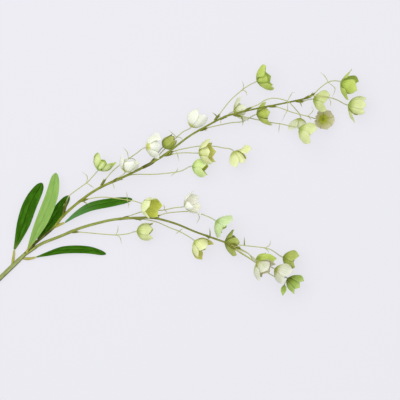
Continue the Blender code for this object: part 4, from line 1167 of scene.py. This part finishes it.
def stalk():
    end, fork = Vector((*CUT_END, STALK_LIFT)), Vector((*FORK, STALK_LIFT))
    reach = (fork - end).normalized() * ((fork - end).length + FORK_OVERRUN)
    route, radii = [end + reach * s for s in STALK_RINGS], [at(STALK_RADII, s) for s in STALK_RINGS]
    pieces = [tube("stalk_tube", route, radii, [STALK_TINT] * len(route), STALK_SIDES, STALK_PAINTED_SHADE)]
    for which, path in PATHS.items():
        first, ahead = start_of(path)
        rings = range(ARM_RINGS)
        run = ahead * (ARM_LENGTH + FORK_OVERRUN)
        route = [first + run * k / (ARM_RINGS - 1) - ahead * FORK_OVERRUN for k in rings]
        radii = [BRANCH_RADII[which][0] + ARM_EXTRA - ARM_TAPER * k for k in rings]
        # Each arm fades into its branch's first tint; for the upper arm that is the painted shade.
        tints = [STALK_TINT.lerp(BRANCH_TINTS[which][0][1], min(1.0, k / ARM_FADE)) for k in rings]
        pieces.append(tube(which + "_arm", route, radii, tints, BRANCH_SIDES, STALK_PAINTED_SHADE))
    return dressed(joined("stalk_skin", pieces + sleeves_on("stalk")), "stalk", "stem", STALK_ANGLE)


stalk_skin = stalk()
print("the stalk has", len(stalk_skin.data.polygons), "faces")

# %% [markdown]
# ## The leaves
#
# A leaf is a long strap, folded a little along its midrib. It starts as a flat sheet like the petal. Then it is
# laid along its middle line, with the fold and faint waves at its edges, and gets its wall.

# %% Make the leaves
LEAF_COLUMNS, LEAF_ROWS = 8, 30
LEAF_OUTLINE = ((0.0, 0.14), (0.12, 0.42), (0.35, 0.88), (0.55, 1.0), (0.75, 0.93), (0.9, 0.7), (0.97, 0.44),
                (1.0, 0.14))
LEAF_WALL = 0.6
LEAF_FOLD = 0.16
LEAF_WAVE, WAVE_RATE, WAVE_SHIFT = 0.35, 14.0, 2.0
LEAF_CLEARANCE = 0.1
LINE_STEP = 1.0
LOOK = (-0.02, 0.0, 0.02)
LEAF_ANGLE = 50


def leaf(name):
    shape = LEAVES[name]
    half = shape["half_width"]
    blade = flat_sheet(LEAF_COLUMNS, 1.0, [share * half for share in row_widths(LEAF_OUTLINE, LEAF_ROWS)])
    bpy.ops.object.mode_set(mode="OBJECT")
    before, end = (Vector(p) for p in shape["sleeve"][-2:])
    start = end + (end - before).normalized() * (SEAT_GAP + LEAF_CLEARANCE)
    line = smooth_route([start] + [Vector(p) for p in shape["line"]], LINE_STEP)
    run = distances(line)
    for vertex in blade.data.vertices:
        across, t, flat = vertex.co
        back, place, front = [along(line, run, (t + shift) * run[-1]) for shift in LOOK]
        ahead = (front - back).normalized()
        sideways = ahead.cross(UP).normalized()
        up = sideways.cross(ahead)
        phase = WAVE_RATE * t + (WAVE_SHIFT if across > 0 else 0.0)
        wave = LEAF_WAVE * (abs(across) / half) ** 2 * math.sin(phase)
        vertex.co = to_part(place + sideways * across + up * (abs(across) * LEAF_FOLD + wave))
    blade.data.materials.append(LEAF_LOOKS.get(name, dark_leaf))
    walled(blade, LEAF_WALL)
    blade.name = "strap_" + name
    return dressed(blade, name, "leaf_light" if name == "leaf_2" else "leaf_dark", LEAF_ANGLE)


leaves = [leaf(name) for name in LEAVES]
print(len(leaves), "leaves,", sum(len(one.data.polygons) for one in leaves), "faces")

# %% [markdown]
# ## Table, light and camera
#
# The stem lies on a plain pale table, which glows a little so that it stays pale under the soft light. The
# light is that of a bright room: an even pale surround, and one large soft lamp high on the left, so that
# shadows stay faint. The camera looks straight down from far away, so perspective hardly shows.

# %% Table
FLOOR_TINT, FLOOR_SPOT_TINT = tint(98, 98, 101), tint(94, 94, 97)
GLOW_TINT, GLOW = tint(240, 239, 246), 0.77
FLOOR_SIZE, FLOOR_DROP = 10.0, 0.0001

pale_table = Recipe("pale_table", Roughness=0.9, Emission_Color=GLOW_TINT, Emission_Strength=GLOW)
spots = pale_table.noise(pale_table.node("TexCoord", "Object"), 2.0) * 0.3
deselect_all()
bpy.ops.mesh.primitive_plane_add(size=FLOOR_SIZE, location=(0, 0, -FLOOR_DROP))
table = bpy.context.active_object
table.name = "table"
table.data.materials.append(pale_table.feed(Base_Color=pale_table.blend(spots, FLOOR_TINT, FLOOR_SPOT_TINT)))
print("the table is", table.dimensions.x, "m wide")

# %% Light
SURROUND_COLOUR, SURROUND_STRENGTH = (0.97, 0.975, 1.0, 1.0), 0.78
LAMP_PLACE, LAMP_SIZE, LAMP_POWER = Vector((-0.35, 0.45, 1.6)), 2.0, 21.0
VIEW_CENTRE = to_part((0, 0, 20))

world = bpy.data.worlds.new("bright_room")
world.use_nodes = True
surround = world.node_tree.nodes["Background"]
surround.inputs["Color"].default_value = SURROUND_COLOUR
surround.inputs["Strength"].default_value = SURROUND_STRENGTH
bpy.context.scene.world = world
bpy.context.scene.view_settings.view_transform = "Standard"

lamp_data = bpy.data.lights.new("soft_lamp", "AREA")
lamp_data.shape = "DISK"
lamp_data.size = LAMP_SIZE
lamp_data.energy = LAMP_POWER
lamp = linked(bpy.data.objects.new("soft_lamp", lamp_data))
lamp.location = VIEW_CENTRE + LAMP_PLACE
lamp.rotation_euler = (VIEW_CENTRE - lamp.location).to_track_quat("-Z", "Y").to_euler()
print("the lamp is", round((VIEW_CENTRE - lamp.location).length, 2), "m away")

# %% Camera
CAMERA_HEIGHT, VIEW_WIDTH = 4.0, 0.56
SENSOR_WIDTH = 36.0
FAR_CLIP = 50.0

camera_data = bpy.data.cameras.new("overhead_camera")
camera_data.sensor_width = SENSOR_WIDTH
camera_data.lens = SENSOR_WIDTH * CAMERA_HEIGHT / VIEW_WIDTH
camera_data.clip_end = FAR_CLIP
camera = linked(bpy.data.objects.new("overhead_camera", camera_data))
camera.location = VIEW_CENTRE + Vector((0, 0, CAMERA_HEIGHT))
bpy.context.scene.camera = camera
print(f"the lens is {camera_data.lens:.0f} mm")
